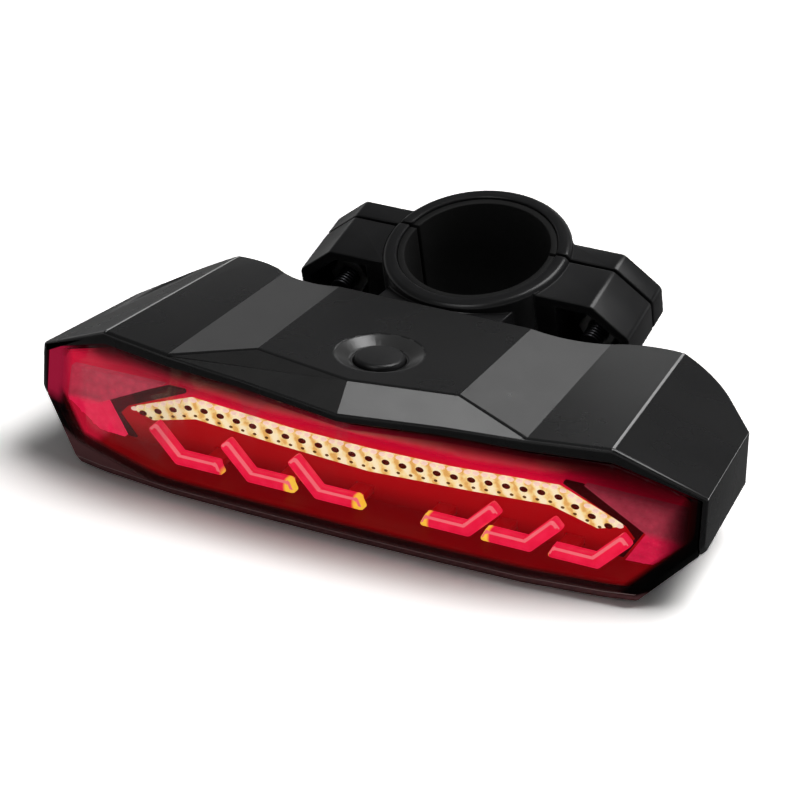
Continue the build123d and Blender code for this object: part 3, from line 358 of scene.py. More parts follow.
smoked, tree = start_material("polished_smoked_polycarbonate")
spot = add_node(tree, "ShaderNodeTexCoord").outputs["Object"]
place = add_node(tree, "ShaderNodeSeparateXYZ", {"Vector": spot})
# Over the right end the top's painted shade reaches 5.5 mm further down
lower = add_node(tree, "ShaderNodeMapRange", {
    "Value": place.outputs["X"], "From Min": 0.036, "From Max": 0.060, "To Max": 0.0055})
top_level = add_node(tree, "ShaderNodeMath", {0: place.outputs["Z"], 1: lower.outputs["Result"]})
# Towards the left end the foot's painted shade rises by 4.8 mm
higher = add_node(tree, "ShaderNodeMapRange", {
    "Value": place.outputs["X"], "From Min": -0.038, "From Max": -0.062, "To Max": -0.0048})
foot_level = add_node(tree, "ShaderNodeMath", {0: place.outputs["Z"], 1: higher.outputs["Result"]})
# The lower corners are painted dark along their slant, where width and depth add up to the same
from_middle = add_node(tree, "ShaderNodeMath", {0: place.outputs["X"]}, operation="ABSOLUTE")
slant = add_node(tree, "ShaderNodeMath", {
    0: from_middle.outputs[0], 1: place.outputs["Z"]}, operation="SUBTRACT")
# What each band of painted shade follows, where it starts and is full, how dense it gets, and how it sets
# in
shade_bands = {
    "end": (place.outputs["X"], 0.0565, 0.0630, 0.95, "SMOOTHSTEP"),
    "top": (top_level.outputs[0], lamp_point(0, 0, -0.5).z, lamp_point(0, 0, 5.5).z, 0.75, "SMOOTHSTEP"),
    "foot": (foot_level.outputs[0], lamp_point(0, 0, -17.7).z, lamp_point(0, 0, -18.8).z, 0.92, "LINEAR"),
    "corner": (slant.outputs[0], 0.0733, 0.0750, 1.0, "LINEAR"),
}
density = {}
for name, (follows, start, full, dense, onset) in shade_bands.items():
    density[name] = add_node(tree, "ShaderNodeMapRange", {
        "Value": follows, "From Min": start, "From Max": full, "To Max": dense}, interpolation_type=onset)
lens_shade = density["end"]
for name in ("top", "foot", "corner"):
    lens_shade = add_node(tree, "ShaderNodeMath", {
        0: lens_shade.outputs[0], 1: density[name].outputs["Result"]}, operation="MAXIMUM")
# The tint darkens with the painted shade
tint = add_node(tree, "ShaderNodeMix", {
    "Factor": lens_shade.outputs[0], 6: srgb("#fdf5f4"), 7: srgb("#3c1518")}, data_type="RGBA")
clear = add_node(tree, "ShaderNodeBsdfTransparent", {"Color": tint.outputs[2]})
# Over its painted shade the foot gets a pale red matt layer, a painted sheen
foot_sheen = add_node(tree, "ShaderNodeBsdfDiffuse", {"Color": srgb("#8a5c5e")})
sheen_share = add_node(tree, "ShaderNodeMath", {
    0: density["foot"].outputs["Result"], 1: 0.75}, operation="MULTIPLY")
layers = add_node(tree, "ShaderNodeMixShader", {
    0: sheen_share.outputs[0], 1: clear.outputs[0], 2: foot_sheen.outputs[0]})
# A crimson glow is painted on the left end, above the corner's slant, for the reflex reflector's light seen
# through it
lit_end = add_node(tree, "ShaderNodeMapRange", {
    "Value": place.outputs["X"], "From Min": -0.0590, "From Max": -0.0615, "To Max": 0.9},
    interpolation_type="SMOOTHSTEP")
above_slant = add_node(tree, "ShaderNodeMapRange", {
    "Value": place.outputs["Z"],
    "From Min": lamp_point(0, 0, -10).z, "From Max": lamp_point(0, 0, -8).z})
end_glow = add_node(tree, "ShaderNodeMath", {
    0: lit_end.outputs["Result"], 1: above_slant.outputs["Result"]}, operation="MULTIPLY")
crimson_light = add_node(tree, "ShaderNodeEmission", {"Color": srgb("#921533")})
layers = add_node(tree, "ShaderNodeMixShader", {
    0: end_glow.outputs[0], 1: layers.outputs[0], 2: crimson_light.outputs[0]})
# The polish shows as a thin shine that grows where the lens is seen edge on
edge_on = add_node(tree, "ShaderNodeFresnel", {"IOR": 1.45})
glint = add_node(tree, "ShaderNodeMath", {0: edge_on.outputs[0], 1: 0.22}, operation="MULTIPLY")
polish = add_node(tree, "ShaderNodeTexNoise", {"Vector": spot, "Scale": POLISH_WAVES, "Detail": 1.0})
smooth = add_node(tree, "ShaderNodeMapRange", {
    "Value": polish.outputs["Fac"], "To Min": 0.02, "To Max": 0.06})
gloss = add_node(tree, "ShaderNodeBsdfGlossy", {
    "Color": (1, 1, 1, 1), "Roughness": smooth.outputs["Result"]})
polished = add_node(tree, "ShaderNodeMixShader", {
    0: glint.outputs[0], 1: layers.outputs[0], 2: gloss.outputs[0]})
add_node(tree, "ShaderNodeOutputMaterial", {"Surface": polished.outputs[0]})
# Painted highlights: thin pale lines along the foot's edges
foot_glint_lines = grained("painted_glint_lens_edge", "#8a6a68", "#b09896", (0.12, 0.2), 4, 0.3, 0.01, IOR=1.58)

lens = softened("lens", LENS_CORNER, least_angle=12)
for face in lens.data.polygons:
    width = face.area / longest_side(lens.data, face).length
    on_middle = any(low < face.normal.z < high for low, high in FOOT_FACING)
    # Narrow strips along the foot's edges take the painted highlight
    if face.center.z < lamp_point(0, 0, FOOT_TOP).z and on_middle and width < FOOT_EDGE_WIDTH:
        face.material_index = FOOT_GLINTS
fit(lens, "lens", "lamp", "smoked_lens", smoked, foot_glint_lines)

# Reflector: ABS tray, moulded in deep red and polished, set behind the lens. The hood over the bar is
# painted a pinker crimson than the wall under it, the bar's light on it, and painted shade darkens the
# floor towards the lens's foot.
TRAY_CORNER = 0.00025
MELT_CLOUDS = 120.0  # to the metre, so that each is 8 mm across

red_abs, tree = start_material("polished_red_abs")
spot = add_node(tree, "ShaderNodeTexCoord").outputs["Object"]
place = add_node(tree, "ShaderNodeSeparateXYZ", {"Vector": spot})
# Painted by height: shade on the tray's floor, and the bar's light on the hood
rise = add_node(tree, "ShaderNodeMapRange", {
    "Value": place.outputs["Z"],
    "From Min": lamp_point(0, 0, -18.0).z, "From Max": lamp_point(0, 0, 4.0).z})
ramp = add_node(tree, "ShaderNodeValToRGB", {0: rise.outputs["Result"]})
stops = ramp.color_ramp.elements
stops[0].color, stops[1].color = srgb("#6e0509"), srgb("#5a0415")
for share, code in ((0.18, "#a80a12"), (0.46, "#b40a14"), (0.54, "#cc0836"), (0.70, "#d2083c")):
    stops.new(share).color = srgb(code)
# Its left end is painted the reflex reflector's pink, as light thrown from it
lit_end = add_node(tree, "ShaderNodeMapRange", {
    "Value": place.outputs["X"], "From Min": -0.0525, "From Max": -0.0555, "To Max": 0.85},
    interpolation_type="SMOOTHSTEP")
painted = add_node(tree, "ShaderNodeMix", {
    "Factor": lit_end.outputs["Result"], 6: ramp.outputs["Color"], 7: srgb("#d81e44")}, data_type="RGBA")
melt = add_node(tree, "ShaderNodeTexNoise", {"Vector": spot, "Scale": MELT_CLOUDS, "Detail": 2.0})
shade = add_node(tree, "ShaderNodeMapRange", {
    "Value": melt.outputs["Fac"], "To Min": 0.88, "To Max": 1.0})
tone = add_node(tree, "ShaderNodeVectorMath", {
    0: painted.outputs[2], "Scale": shade.outputs["Result"]}, operation="SCALE")
ripple = add_node(tree, "ShaderNodeBump", {
    "Height": melt.outputs["Fac"], "Strength": 0.1, "Distance": 0.0003})
# Its colour is also painted on as a glow, for the bar's light in the tray, and throws no red on the paper
tray = add_node(tree, "ShaderNodeBsdfPrincipled", {
    "Base Color": tone.outputs[0], "Roughness": 0.3, "Specular IOR Level": 0.03,
    "Emission Color": tone.outputs[0], "Emission Strength": glow(tree, seen=0.8, thrown=0.0),
    "Normal": ripple.outputs["Normal"]})
add_node(tree, "ShaderNodeOutputMaterial", {"Surface": tray.outputs[0]})
fit(softened("reflector", TRAY_CORNER), "reflector", "lamp", "red_reflector", red_abs)

# Light bar: one strip of opal acrylic, injection moulded and pressed into the reflector. A row of dark
# oval wells runs along it over a row of small ones, and its upper edge is a beaded rim.
BAR_CORNER = 0.0003
BAR_FACE = 2.6  # in mm, as all sizes of the wells and beads
WELL_PITCH, WELL_SIZE = 3.3, (1.6, 0.5, 1.05)
SMALL_PITCH, SMALL_SIZE = 2.35, (0.75, 0.3, 0.5)
RIM_PITCH, RIM_SIZE = 1.65, (1.35, 0.9, 0.75)
well_line = [(-46.2, -11.1), (-35.9, -7.6), (-16, -8.9), (0, -9.3), (16, -8.9), (35.9, -7.6), (46.2, -11.1)]
small_line = [(44.6, -11.7), (35.6, -9.1), (16, -10.3), (1, -10.9)]
rim_line = [(-48.2, -10.8), (-36.4, -6.3), (-16, -7.7), (0, -8.0), (16, -7.7), (36.4, -6.3), (48.2, -10.8)]
RIM_SHIFT = (0.3, 0.05)  # back from the bar's face and up from the line
FLAKES = 900.0  # to the metre, so that each is 1.1 mm across


def start_tree(name, base, inputs):
    """A Geometry Nodes tree with named inputs, its input node, and the inputs' identifiers."""
    tree = bpy.data.node_groups.new(name, "GeometryNodeTree")
    sockets = {}
    for label, kind in {base: "Geometry", **inputs, "Material": "Material"}.items():
        socket = tree.interface.new_socket(label, in_out="INPUT", socket_type=f"NodeSocket{kind}")
        sockets[label] = socket.identifier
    return tree, add_node(tree, "NodeGroupInput"), sockets


def end_tree(tree, given, copies, label):
    """Makes the copies real, coats them and hands them out."""
    tree.interface.new_socket(label, in_out="OUTPUT", socket_type="NodeSocketGeometry")
    solid = add_node(tree, "GeometryNodeRealizeInstances", {0: copies.outputs[0]})
    coated = add_node(tree, "GeometryNodeSetMaterial", {
        0: solid.outputs[0], "Material": given.outputs["Material"]})
    add_node(tree, "NodeGroupOutput", {0: coated.outputs[0]})


def grown(name, mesh, tree, sockets, values):
    """A piece that a Geometry Nodes tree makes on a mesh, with its inputs set by their identifiers."""
    made = put(name, mesh)
    growth = made.modifiers.new("growth", "NODES")
    growth.node_group = tree
    for label, value in values.items():
        growth[sockets[label]] = value
    make_plain(made)
    return made


bead_tree, given, bead_sockets = start_tree("beads", "Wires", {"Pitch": "Float", "Bead Size": "Vector"})
curve = add_node(bead_tree, "GeometryNodeMeshToCurve", {"Mesh": given.outputs["Wires"]})
spaced = add_node(bead_tree, "GeometryNodeResampleCurve", {
    "Curve": curve.outputs[0], "Length": given.outputs["Pitch"]}, mode="LENGTH")
bead = add_node(bead_tree, "GeometryNodeMeshIcoSphere", {"Radius": 0.5, "Subdivisions": 3})
rounded = add_node(bead_tree, "GeometryNodeSetShadeSmooth", {0: bead.outputs[0]})
beads = add_node(bead_tree, "GeometryNodeInstanceOnPoints", {
    "Points": spaced.outputs[0], "Instance": rounded.outputs[0], "Scale": given.outputs["Bead Size"]})
end_tree(bead_tree, given, beads, "Beads")


def domes(name, wires, pitch, size, material):
    """Flattened beads at a pitch along wires, given in mm on the lamp."""
    points, steps = [], []
    for wire in wires:
        steps += [(len(points) + step, len(points) + step + 1) for step in range(len(wire) - 1)]
        points += [lamp_point(*point) for point in wire]
    mesh = bpy.data.meshes.new(name)
    mesh.from_pydata(points, steps, [])
    return grown(name, mesh, bead_tree, bead_sockets, {
        "Pitch": pitch / 1000, "Bead Size": [length / 1000 for length in size], "Material": material})


def joined(name, *parts):
    """One object of several, each keeping its materials."""
    mesh = bpy.data.meshes.new(name)
    work = bmesh.new()
    for part in parts:
        held = len(mesh.materials)
        before = len(work.faces)
        for material in part.data.materials:
            mesh.materials.append(material)
        work.from_mesh(part.data)
        work.faces.ensure_lookup_table()
        for face in work.faces[before:]:
            face.material_index += held
        bpy.data.objects.remove(part)
    work.to_mesh(mesh)
    work.free()
    return put(name, mesh)


# Pale bars run across the strip from well to well, between yellower flats
opal, tree = start_material("opal_acrylic")
spot = add_node(tree, "ShaderNodeTexCoord").outputs["Object"]
place = add_node(tree, "ShaderNodeSeparateXYZ", {"Vector": spot})
lean = add_node(tree, "ShaderNodeMath", {
    0: place.outputs["Z"], 1: 0.5, 2: place.outputs["X"]}, operation="MULTIPLY_ADD")
turn = add_node(tree, "ShaderNodeMath", {
    0: lean.outputs[0], 1: 2000 * pi / WELL_PITCH}, operation="MULTIPLY")
wave = add_node(tree, "ShaderNodeMath", {0: turn.outputs[0]}, operation="SINE")
flake = add_node(tree, "ShaderNodeTexNoise", {"Vector": spot, "Scale": FLAKES, "Detail": 2.0})
blend = add_node(tree, "ShaderNodeMath", {
    0: wave.outputs[0], 1: 0.25, 2: flake.outputs["Fac"]}, operation="MULTIPLY_ADD")
ramp = add_node(tree, "ShaderNodeValToRGB", {0: blend.outputs[0]})
stops = ramp.color_ramp.elements
stops[0].position, stops[0].color = 0.22, srgb("#e2b25e")
stops[1].position, stops[1].color = 0.68, srgb("#fffbd2")
stops.new(0.40).color = srgb("#fbe69c")
lit = add_node(tree, "ShaderNodeBsdfPrincipled", {
    "Base Color": srgb("#8c8468"), "Roughness": 0.25, "Specular IOR Level": 0.2,
    "Emission Color": ramp.outputs["Color"], "Emission Strength": glow(tree, seen=0.95, thrown=0.25)})
add_node(tree, "ShaderNodeOutputMaterial", {"Surface": lit.outputs[0]})
# The wells are painted dark red-brown and the small ones light brown, painted shade that makes them read
# deep, and the rim's beads pinkish white
well_red = grained("painted_shade_acrylic_well", "#4c0a06", "#8c2412", (0.2, 0.35), 1.0, 0.2, 0.02,
                   Specular_IOR_Level=0.2, Emission_Color=srgb("#6a1208"), Emission_Strength=0.2)
pit_brown = grained("shaded_acrylic_pit", "#6a4a20", "#a0763c", (0.2, 0.35), 0.8, 0.2, 0.02,
                    Specular_IOR_Level=0.2, Emission_Color=srgb("#7a5828"), Emission_Strength=0.3)
rim_pink = grained("pink_lit_acrylic_rim", "#c8a898", "#d8c8bc", (0.2, 0.3), 1.5, 0.3, 0.02,
                   Specular_IOR_Level=0.2, Emission_Color=srgb("#ffe9d8"), Emission_Strength=0.85)

wells = [[(x, BAR_FACE, z) for x, z in well_line]]
small_wells = [[(side * x, BAR_FACE, z) for x, z in small_line] for side in (-1, 1)]
rim = [[(x, BAR_FACE + RIM_SHIFT[0], z + RIM_SHIFT[1]) for x, z in rim_line]]
strip = softened("light_bar", BAR_CORNER, "strip")
strip.data.materials.append(opal)
bar = joined(
    "light_bar", strip,
    domes("wells", wells, WELL_PITCH, WELL_SIZE, well_red),
    domes("small_wells", small_wells, SMALL_PITCH, SMALL_SIZE, pit_brown),
    domes("rim_beads", rim, RIM_PITCH, RIM_SIZE, rim_pink))
fit(bar, "light_bar", "lamp", "light_bar")

# Arrow guides: three bent bars a side, clear red acrylic, moulded with a raised ridge along each one, where
# a pink highlight is painted. Light from behind turns the inner tips amber, and the stems show the tray's
# red through.
GUIDE_CORNER = 0.00022
GUIDE_SWELL = 0.0003  # the bars bulge a little past their flat faces
SWELL_BEFORE, RIDGE_BEFORE, STEM_BEHIND = -0.6, -1.5, -0.55  # depths in mm on the lamp
RIDGE_UPWARD, RIDGE_FORWARD = (0.3, 0.8), (-0.85, -0.5)  # parts of the ridge's normals
ARM_FOOT = -14.6  # the bars' slanting arms are above this height in mm
ARROW_BENDS = {"left_arrow_guides": (-36.1, -21.3, -7.6), "right_arrow_guides": (46.1, 33.3, 21.6)}
TIP_SHORT = (1.6, 0, 0)  # the outer bar's amber tip is shorter
BEND_SLACK = 1  # in mm; a point this little outside a bend still belongs to its bar
NO_TIP = -5  # for the points that stay crimson
FLOW_LINES = 500.0  # to the metre, so that each is 2 mm across
RIDGE, STEM = 1, 2  # places in the guides' list of materials

arrow_red, tree = start_material("clear_red_acrylic")
spot = add_node(tree, "ShaderNodeTexCoord").outputs["Object"]
reach_in = add_node(tree, "ShaderNodeAttribute", attribute_name="inboard")
tip = add_node(tree, "ShaderNodeMapRange", {
    "Value": reach_in.outputs["Fac"], "From Min": 6.9, "From Max": 7.6}, interpolation_type="SMOOTHSTEP")
flow = add_node(tree, "ShaderNodeTexNoise", {"Vector": spot, "Scale": FLOW_LINES, "Detail": 2.0})
crimson = add_node(tree, "ShaderNodeMix", {
    "Factor": flow.outputs["Fac"], 6: srgb("#d60834"), 7: srgb("#fa2c58")}, data_type="RGBA")
amber = add_node(tree, "ShaderNodeMix", {
    "Factor": flow.outputs["Fac"], 6: srgb("#ffba24"), 7: srgb("#ffe45c")}, data_type="RGBA")
paint = add_node(tree, "ShaderNodeMix", {
    "Factor": tip.outputs["Result"], 6: crimson.outputs[2], 7: amber.outputs[2]}, data_type="RGBA")
lit = add_node(tree, "ShaderNodeBsdfPrincipled", {
    "Base Color": paint.outputs[2], "Roughness": 0.18, "Specular IOR Level": 0.12,
    "Emission Color": paint.outputs[2], "Emission Strength": glow(tree, seen=0.85, thrown=0.0)})
add_node(tree, "ShaderNodeOutputMaterial", {"Surface": lit.outputs[0]})
# The ridge takes a painted pink highlight
ridge_pink = grained("lit_acrylic_ridge", "#e8506c", "#ff8c96", (0.15, 0.25), 2.0, 0.3, 0.02,
                     Specular_IOR_Level=0.3, Emission_Color=srgb("#ff7c88"), Emission_Strength=0.75)

for name, bends in ARROW_BENDS.items():
    side = 1 if name.startswith("right") else -1
    guides = softened(name, GUIDE_CORNER)
    swell = [point.normal * GUIDE_SWELL for point in guides.data.vertices]
    for point, push in zip(guides.data.vertices, swell):
        if point.co.y < lamp_point(0, SWELL_BEFORE, 0).y:
            point.co += push
    inboard = guides.data.attributes.new("inboard", "FLOAT", "POINT")
    for point in guides.data.vertices:
        value = NO_TIP
        if point.co.z <= lamp_point(0, 0, ARM_FOOT).z:
            reaches = [side * (bend - point.co.x * 1000) for bend in bends]
            reach, row = min((reach, row) for row, reach in enumerate(reaches) if reach > -BEND_SLACK)
            value = reach - TIP_SHORT[row]
        inboard.data[point.index].value = value
    for face in guides.data.polygons:
        facing_up = RIDGE_UPWARD[0] < face.normal.z < RIDGE_UPWARD[1]
        facing_out = RIDGE_FORWARD[0] < face.normal.y < RIDGE_FORWARD[1]
        if facing_up and facing_out and face.center.y < lamp_point(0, RIDGE_BEFORE, 0).y:
            face.material_index = RIDGE
        if face.center.y > lamp_point(0, STEM_BEHIND, 0).y:
            face.material_index = STEM
    fit(guides, name, "lamp", "arrow_guides", arrow_red, ridge_pink, red_abs)

# Reflex reflectors: red acrylic, moulded with rows of small prisms over two facets and glued to the tray
# beyond the bar's ends. The upper facet is painted pinker and the lower one a fuller red, as each catches
# the light, and the red is also painted on as a glow.
REFLEX_CORNER = 0.00015
PRISM_PITCH = 0.0011
PRISM_DEPTH = 0.00016
PRISM_COLUMNS, PRISM_ROWS = 20, 14  # spaces between them
PRISM_MIDDLE = (51.0, -5.0, -10.3)  # the right grid's, in mm, in front of the facets
FEELER = 0.0005  # from a prism's middle to the rays round its foot
RAY = {"Ray Direction": (0, 1, 0), "Ray Length": 0.02}  # straight back to the facets
UPRIGHT = (pi / 2, 0, 0)  # stands a flat grid up and points a cone forwards
SPARKLES = 700.0  # to the metre, each 1.4 mm across, a little over the prisms' pitch so that it shows

reflex_red, tree = start_material("prismatic_red_acrylic")
spot = add_node(tree, "ShaderNodeTexCoord").outputs["Object"]
place = add_node(tree, "ShaderNodeSeparateXYZ", {"Vector": spot})
# Painted light: the upper facet takes the pinker colour
upper = add_node(tree, "ShaderNodeMapRange", {
    "Value": place.outputs["Z"],
    "From Min": lamp_point(0, 0, -10.8).z, "From Max": lamp_point(0, 0, -9.0).z},
    interpolation_type="SMOOTHSTEP")
sparkle = add_node(tree, "ShaderNodeTexVoronoi", {"Vector": spot, "Scale": SPARKLES})
deep = add_node(tree, "ShaderNodeMix", {
    "Factor": sparkle.outputs["Distance"], 6: srgb("#ff2a5e"), 7: srgb("#e02050")}, data_type="RGBA")
pink = add_node(tree, "ShaderNodeMix", {
    "Factor": sparkle.outputs["Distance"], 6: srgb("#bc4058"), 7: srgb("#a2364a")}, data_type="RGBA")
paint = add_node(tree, "ShaderNodeMix", {
    "Factor": upper.outputs["Result"], 6: deep.outputs[2], 7: pink.outputs[2]}, data_type="RGBA")
# The right one is painted darker than the left, as less light sent back
far_end = add_node(tree, "ShaderNodeMapRange", {
    "Value": place.outputs["X"], "From Min": -0.05, "From Max": 0.05, "To Min": 1.05, "To Max": 0.72})
sent_back = add_node(tree, "ShaderNodeVectorMath", {
    0: paint.outputs[2], "Scale": far_end.outputs["Result"]}, operation="SCALE")
# The red is also painted on as a glow, which throws no red on the paper
lit = add_node(tree, "ShaderNodeBsdfPrincipled", {
    "Base Color": sent_back.outputs[0], "Roughness": 0.2, "Specular IOR Level": 0.2,
    "Emission Color": sent_back.outputs[0], "Emission Strength": glow(tree, seen=0.85, thrown=0.0)})
add_node(tree, "ShaderNodeOutputMaterial", {"Surface": lit.outputs[0]})

prism_tree, given, prism_sockets = start_tree("prisms", "Facets", {
    "Pitch": "Float", "Depth": "Float", "Middle": "Vector"})
grid_width = add_node(prism_tree, "ShaderNodeMath", {
    0: given.outputs["Pitch"], 1: PRISM_COLUMNS}, operation="MULTIPLY")
grid_height = add_node(prism_tree, "ShaderNodeMath", {
    0: given.outputs["Pitch"], 1: PRISM_ROWS}, operation="MULTIPLY")
grid = add_node(prism_tree, "GeometryNodeMeshGrid", {
    "Size X": grid_width.outputs[0], "Size Y": grid_height.outputs[0],
    "Vertices X": PRISM_COLUMNS + 1, "Vertices Y": PRISM_ROWS + 1})
upright_grid = add_node(prism_tree, "GeometryNodeTransform", {
    0: grid.outputs[0], "Translation": given.outputs["Middle"], "Rotation": UPRIGHT})
# Every second row moves aside by half a pitch
at = add_node(prism_tree, "GeometryNodeInputPosition")
xyz = add_node(prism_tree, "ShaderNodeSeparateXYZ", {0: at.outputs[0]})
line = add_node(prism_tree, "ShaderNodeMath", {
    0: xyz.outputs["Z"], 1: given.outputs["Pitch"]}, operation="DIVIDE")
nearest = add_node(prism_tree, "ShaderNodeMath", {0: line.outputs[0]}, operation="ROUND")
odd = add_node(prism_tree, "ShaderNodeMath", {0: nearest.outputs[0], 1: 2.0}, operation="FLOORED_MODULO")
half_pitch = add_node(prism_tree, "ShaderNodeMath", {
    0: given.outputs["Pitch"], 1: 0.5}, operation="MULTIPLY")
shift = add_node(prism_tree, "ShaderNodeMath", {
    0: odd.outputs[0], 1: half_pitch.outputs[0]}, operation="MULTIPLY")
aside = add_node(prism_tree, "ShaderNodeCombineXYZ", {0: shift.outputs[0]})
staggered = add_node(prism_tree, "GeometryNodeSetPosition", {
    0: upright_grid.outputs[0], "Offset": aside.outputs[0]})
# A prism is left out where any of four rays round its foot passes the facets
missed = None
for beside, above in ((FEELER, 0), (-FEELER, 0), (0, FEELER), (0, -FEELER)):
    start = add_node(prism_tree, "ShaderNodeVectorMath", {
        0: at.outputs[0], 1: (beside, 0, above)}, operation="ADD")
    feeler = add_node(prism_tree, "GeometryNodeRaycast", {
        "Target Geometry": given.outputs["Facets"], "Source Position": start.outputs[0], **RAY})
    passed = add_node(prism_tree, "FunctionNodeBooleanMath", {0: feeler.outputs["Is Hit"]}, operation="NOT")
    missed = passed if missed is None else add_node(prism_tree, "FunctionNodeBooleanMath", {
        0: missed.outputs[0], 1: passed.outputs[0]}, operation="OR")
over_facets = add_node(prism_tree, "GeometryNodeDeleteGeometry", {
    0: staggered.outputs[0], "Selection": missed.outputs[0]}, domain="POINT")
cast = add_node(prism_tree, "GeometryNodeRaycast", {"Target Geometry": given.outputs["Facets"], **RAY})
on_facets = add_node(prism_tree, "GeometryNodeSetPosition", {
    0: over_facets.outputs[0], "Position": cast.outputs["Hit Position"]})
cone = add_node(prism_tree, "GeometryNodeMeshCone", {
    "Vertices": 6, "Radius Top": 0.0, "Radius Bottom": half_pitch.outputs[0],
    "Depth": given.outputs["Depth"]})
cones = add_node(prism_tree, "GeometryNodeInstanceOnPoints", {
    "Points": on_facets.outputs[0], "Instance": cone.outputs[0], "Rotation": UPRIGHT})
end_tree(prism_tree, given, cones, "Prisms")

for word, side in (("left", -1), ("right", 1)):
    node = f"{word}_reflex_reflector"
    back = softened(node, REFLEX_CORNER, f"{word}_reflex_back")
    back.data.materials.append(reflex_red)
    prisms = grown(f"{word}_prisms", back.data.copy(), prism_tree, prism_sockets, {
        "Pitch": PRISM_PITCH, "Depth": PRISM_DEPTH, "Material": reflex_red,
        "Middle": lamp_point(side * PRISM_MIDDLE[0], *PRISM_MIDDLE[1:])})
    fit(joined(node, back, prisms), node, "lamp", "reflex_red")

# Arrowheads: thin dark red acrylic plates between the bar's ends and the reflex reflectors, cut out and
# glued down, with a slightly uneven polish.
PLATE_CORNER = 0.0002
# Their dark red is partly painted on as a faint glow
dark_acrylic = grained("dark_red_acrylic_plate", "#2c0306", "#40060a", (0.3, 0.4), 3, 0.4, 0.02,
                       Specular_IOR_Level=0.02, Emission_Color=srgb("#4a060b"), Emission_Strength=0.4)
for node in ("left_arrowhead", "right_arrowhead"):
    fit(softened(node, PLATE_CORNER), node, "lamp", "dark_red", dark_acrylic)

# Button: black silicone rubber, moulded in one with its flange and pressed up into the dish. Its skin
# is matt and shines only along the rounded rim.
BUTTON_CORNER = 0.0003
silicone = grained("moulded_silicone", "#141415", "#1c1c1d", (0.34, 0.46), 2.5, 0.2, 0.02,
                   IOR=1.43, Specular_IOR_Level=0.5)
fit(softened("power_button", BUTTON_CORNER), "power_button", "power_button", "button_rubber", silicone)

# Clamp halves: glass-filled nylon, injection moulded, split across the bore. The corners are lightly
# rounded, and the skin shows the satin sheen and faint flow marks of the filled melt.
CLAMP_CORNER = 0.00035
filled_nylon = grained("glass_filled_nylon", "#161617", "#202021", (0.26, 0.36), 5, 0.25, 0.03,
                       IOR=1.53, Specular_IOR_Level=0.28)
for node, body in (("clamp_front", "lamp"), ("clamp_rear", "rear_clamp")):
    fit(softened(node, CLAMP_CORNER), node, body, "black_nylon", filled_nylon)

# Bore pads: strips of black EPDM rubber, moulded in half rings and glued into the bore. They are matt,
# with a little chalk bloom, so the bore looks nearly black.
PAD_CORNER = 0.0002
pad_rubber = grained("bloomed_epdm_rubber", "#080808", "#121212", (0.6, 0.8), 3, 0.2, 0.05,
                     Specular_IOR_Level=0.25)
for node, body in (("front_clamp_pad", "lamp"), ("rear_clamp_pad", "rear_clamp")):
    fit(softened(node, PAD_CORNER), node, body, "rubber", pad_rubber)

# Clamp screws: M4 socket heads, cold forged, rolled and blackened. The heads are knurled to be turned
# by hand at first; Geometry Nodes sets the knurl's ridges round each head.
SCREW_CORNER = 0.0002
THREAD_PITCH = 0.0007
OXIDE_SPOTS = 700.0  # to the metre, so that each is 1.4 mm across
HEAD_RADIUS = 0.0035
KNURL = {"Ridges": 34, "Ridge Radius": 0.00022, "Ridge Length": 0.0028}
RIDGE_SINK = 0.9  # share of a ridge's radius by which its middle lies under the head's skin
CLAMP_TILT = radians(16.5)
EAR_MIDDLE = (0.0255, -0.000568, 0.001918)  # the right ear's
HEAD_MIDDLE = 0.0094  # behind the ear's, halfway up the head
screw_axis = Vector((0, cos(CLAMP_TILT), sin(CLAMP_TILT)))

# The oxide is a mottled dark grey, and the thread shows as fine rings along the shank
forged, tree = start_material("blackened_forged_steel")
spot = add_node(tree, "ShaderNodeTexCoord").outputs["Object"]
along = add_node(tree, "ShaderNodeVectorMath", {0: spot, 1: screw_axis}, operation="DOT_PRODUCT")
turn = add_node(tree, "ShaderNodeMath", {
    0: along.outputs["Value"], 1: 2 * pi / THREAD_PITCH}, operation="MULTIPLY")
thread = add_node(tree, "ShaderNodeMath", {0: turn.outputs[0]}, operation="SINE")
oxide = add_node(tree, "ShaderNodeTexNoise", {"Vector": spot, "Scale": OXIDE_SPOTS, "Detail": 3.0})
tone = add_node(tree, "ShaderNodeMix", {
    "Factor": oxide.outputs["Fac"], 6: srgb("#2b2b2d"), 7: srgb("#47474a")}, data_type="RGBA")
rings = add_node(tree, "ShaderNodeBump", {
    "Height": thread.outputs[0], "Strength": 0.5, "Distance": 0.0002})
steel = add_node(tree, "ShaderNodeBsdfPrincipled", {
    "Base Color": tone.outputs[2], "Metallic": 1.0, "Roughness": 0.35, "Normal": rings.outputs["Normal"]})
add_node(tree, "ShaderNodeOutputMaterial", {"Surface": steel.outputs[0]})

knurl_tree, given, knurl_sockets = start_tree("knurl", "Head", {
    "Ridges": "Int", "Ridge Radius": "Float", "Ridge Length": "Float", "Head Radius": "Float"})
ring = add_node(knurl_tree, "GeometryNodeMeshCircle", {
    "Vertices": given.outputs["Ridges"], "Radius": given.outputs["Head Radius"]})
rod = add_node(knurl_tree, "GeometryNodeMeshCylinder", {
    "Vertices": 6, "Radius": given.outputs["Ridge Radius"], "Depth": given.outputs["Ridge Length"]})
rods = add_node(knurl_tree, "GeometryNodeInstanceOnPoints", {
    "Points": ring.outputs[0], "Instance": rod.outputs[0]})
end_tree(knurl_tree, given, rods, "Ridges")

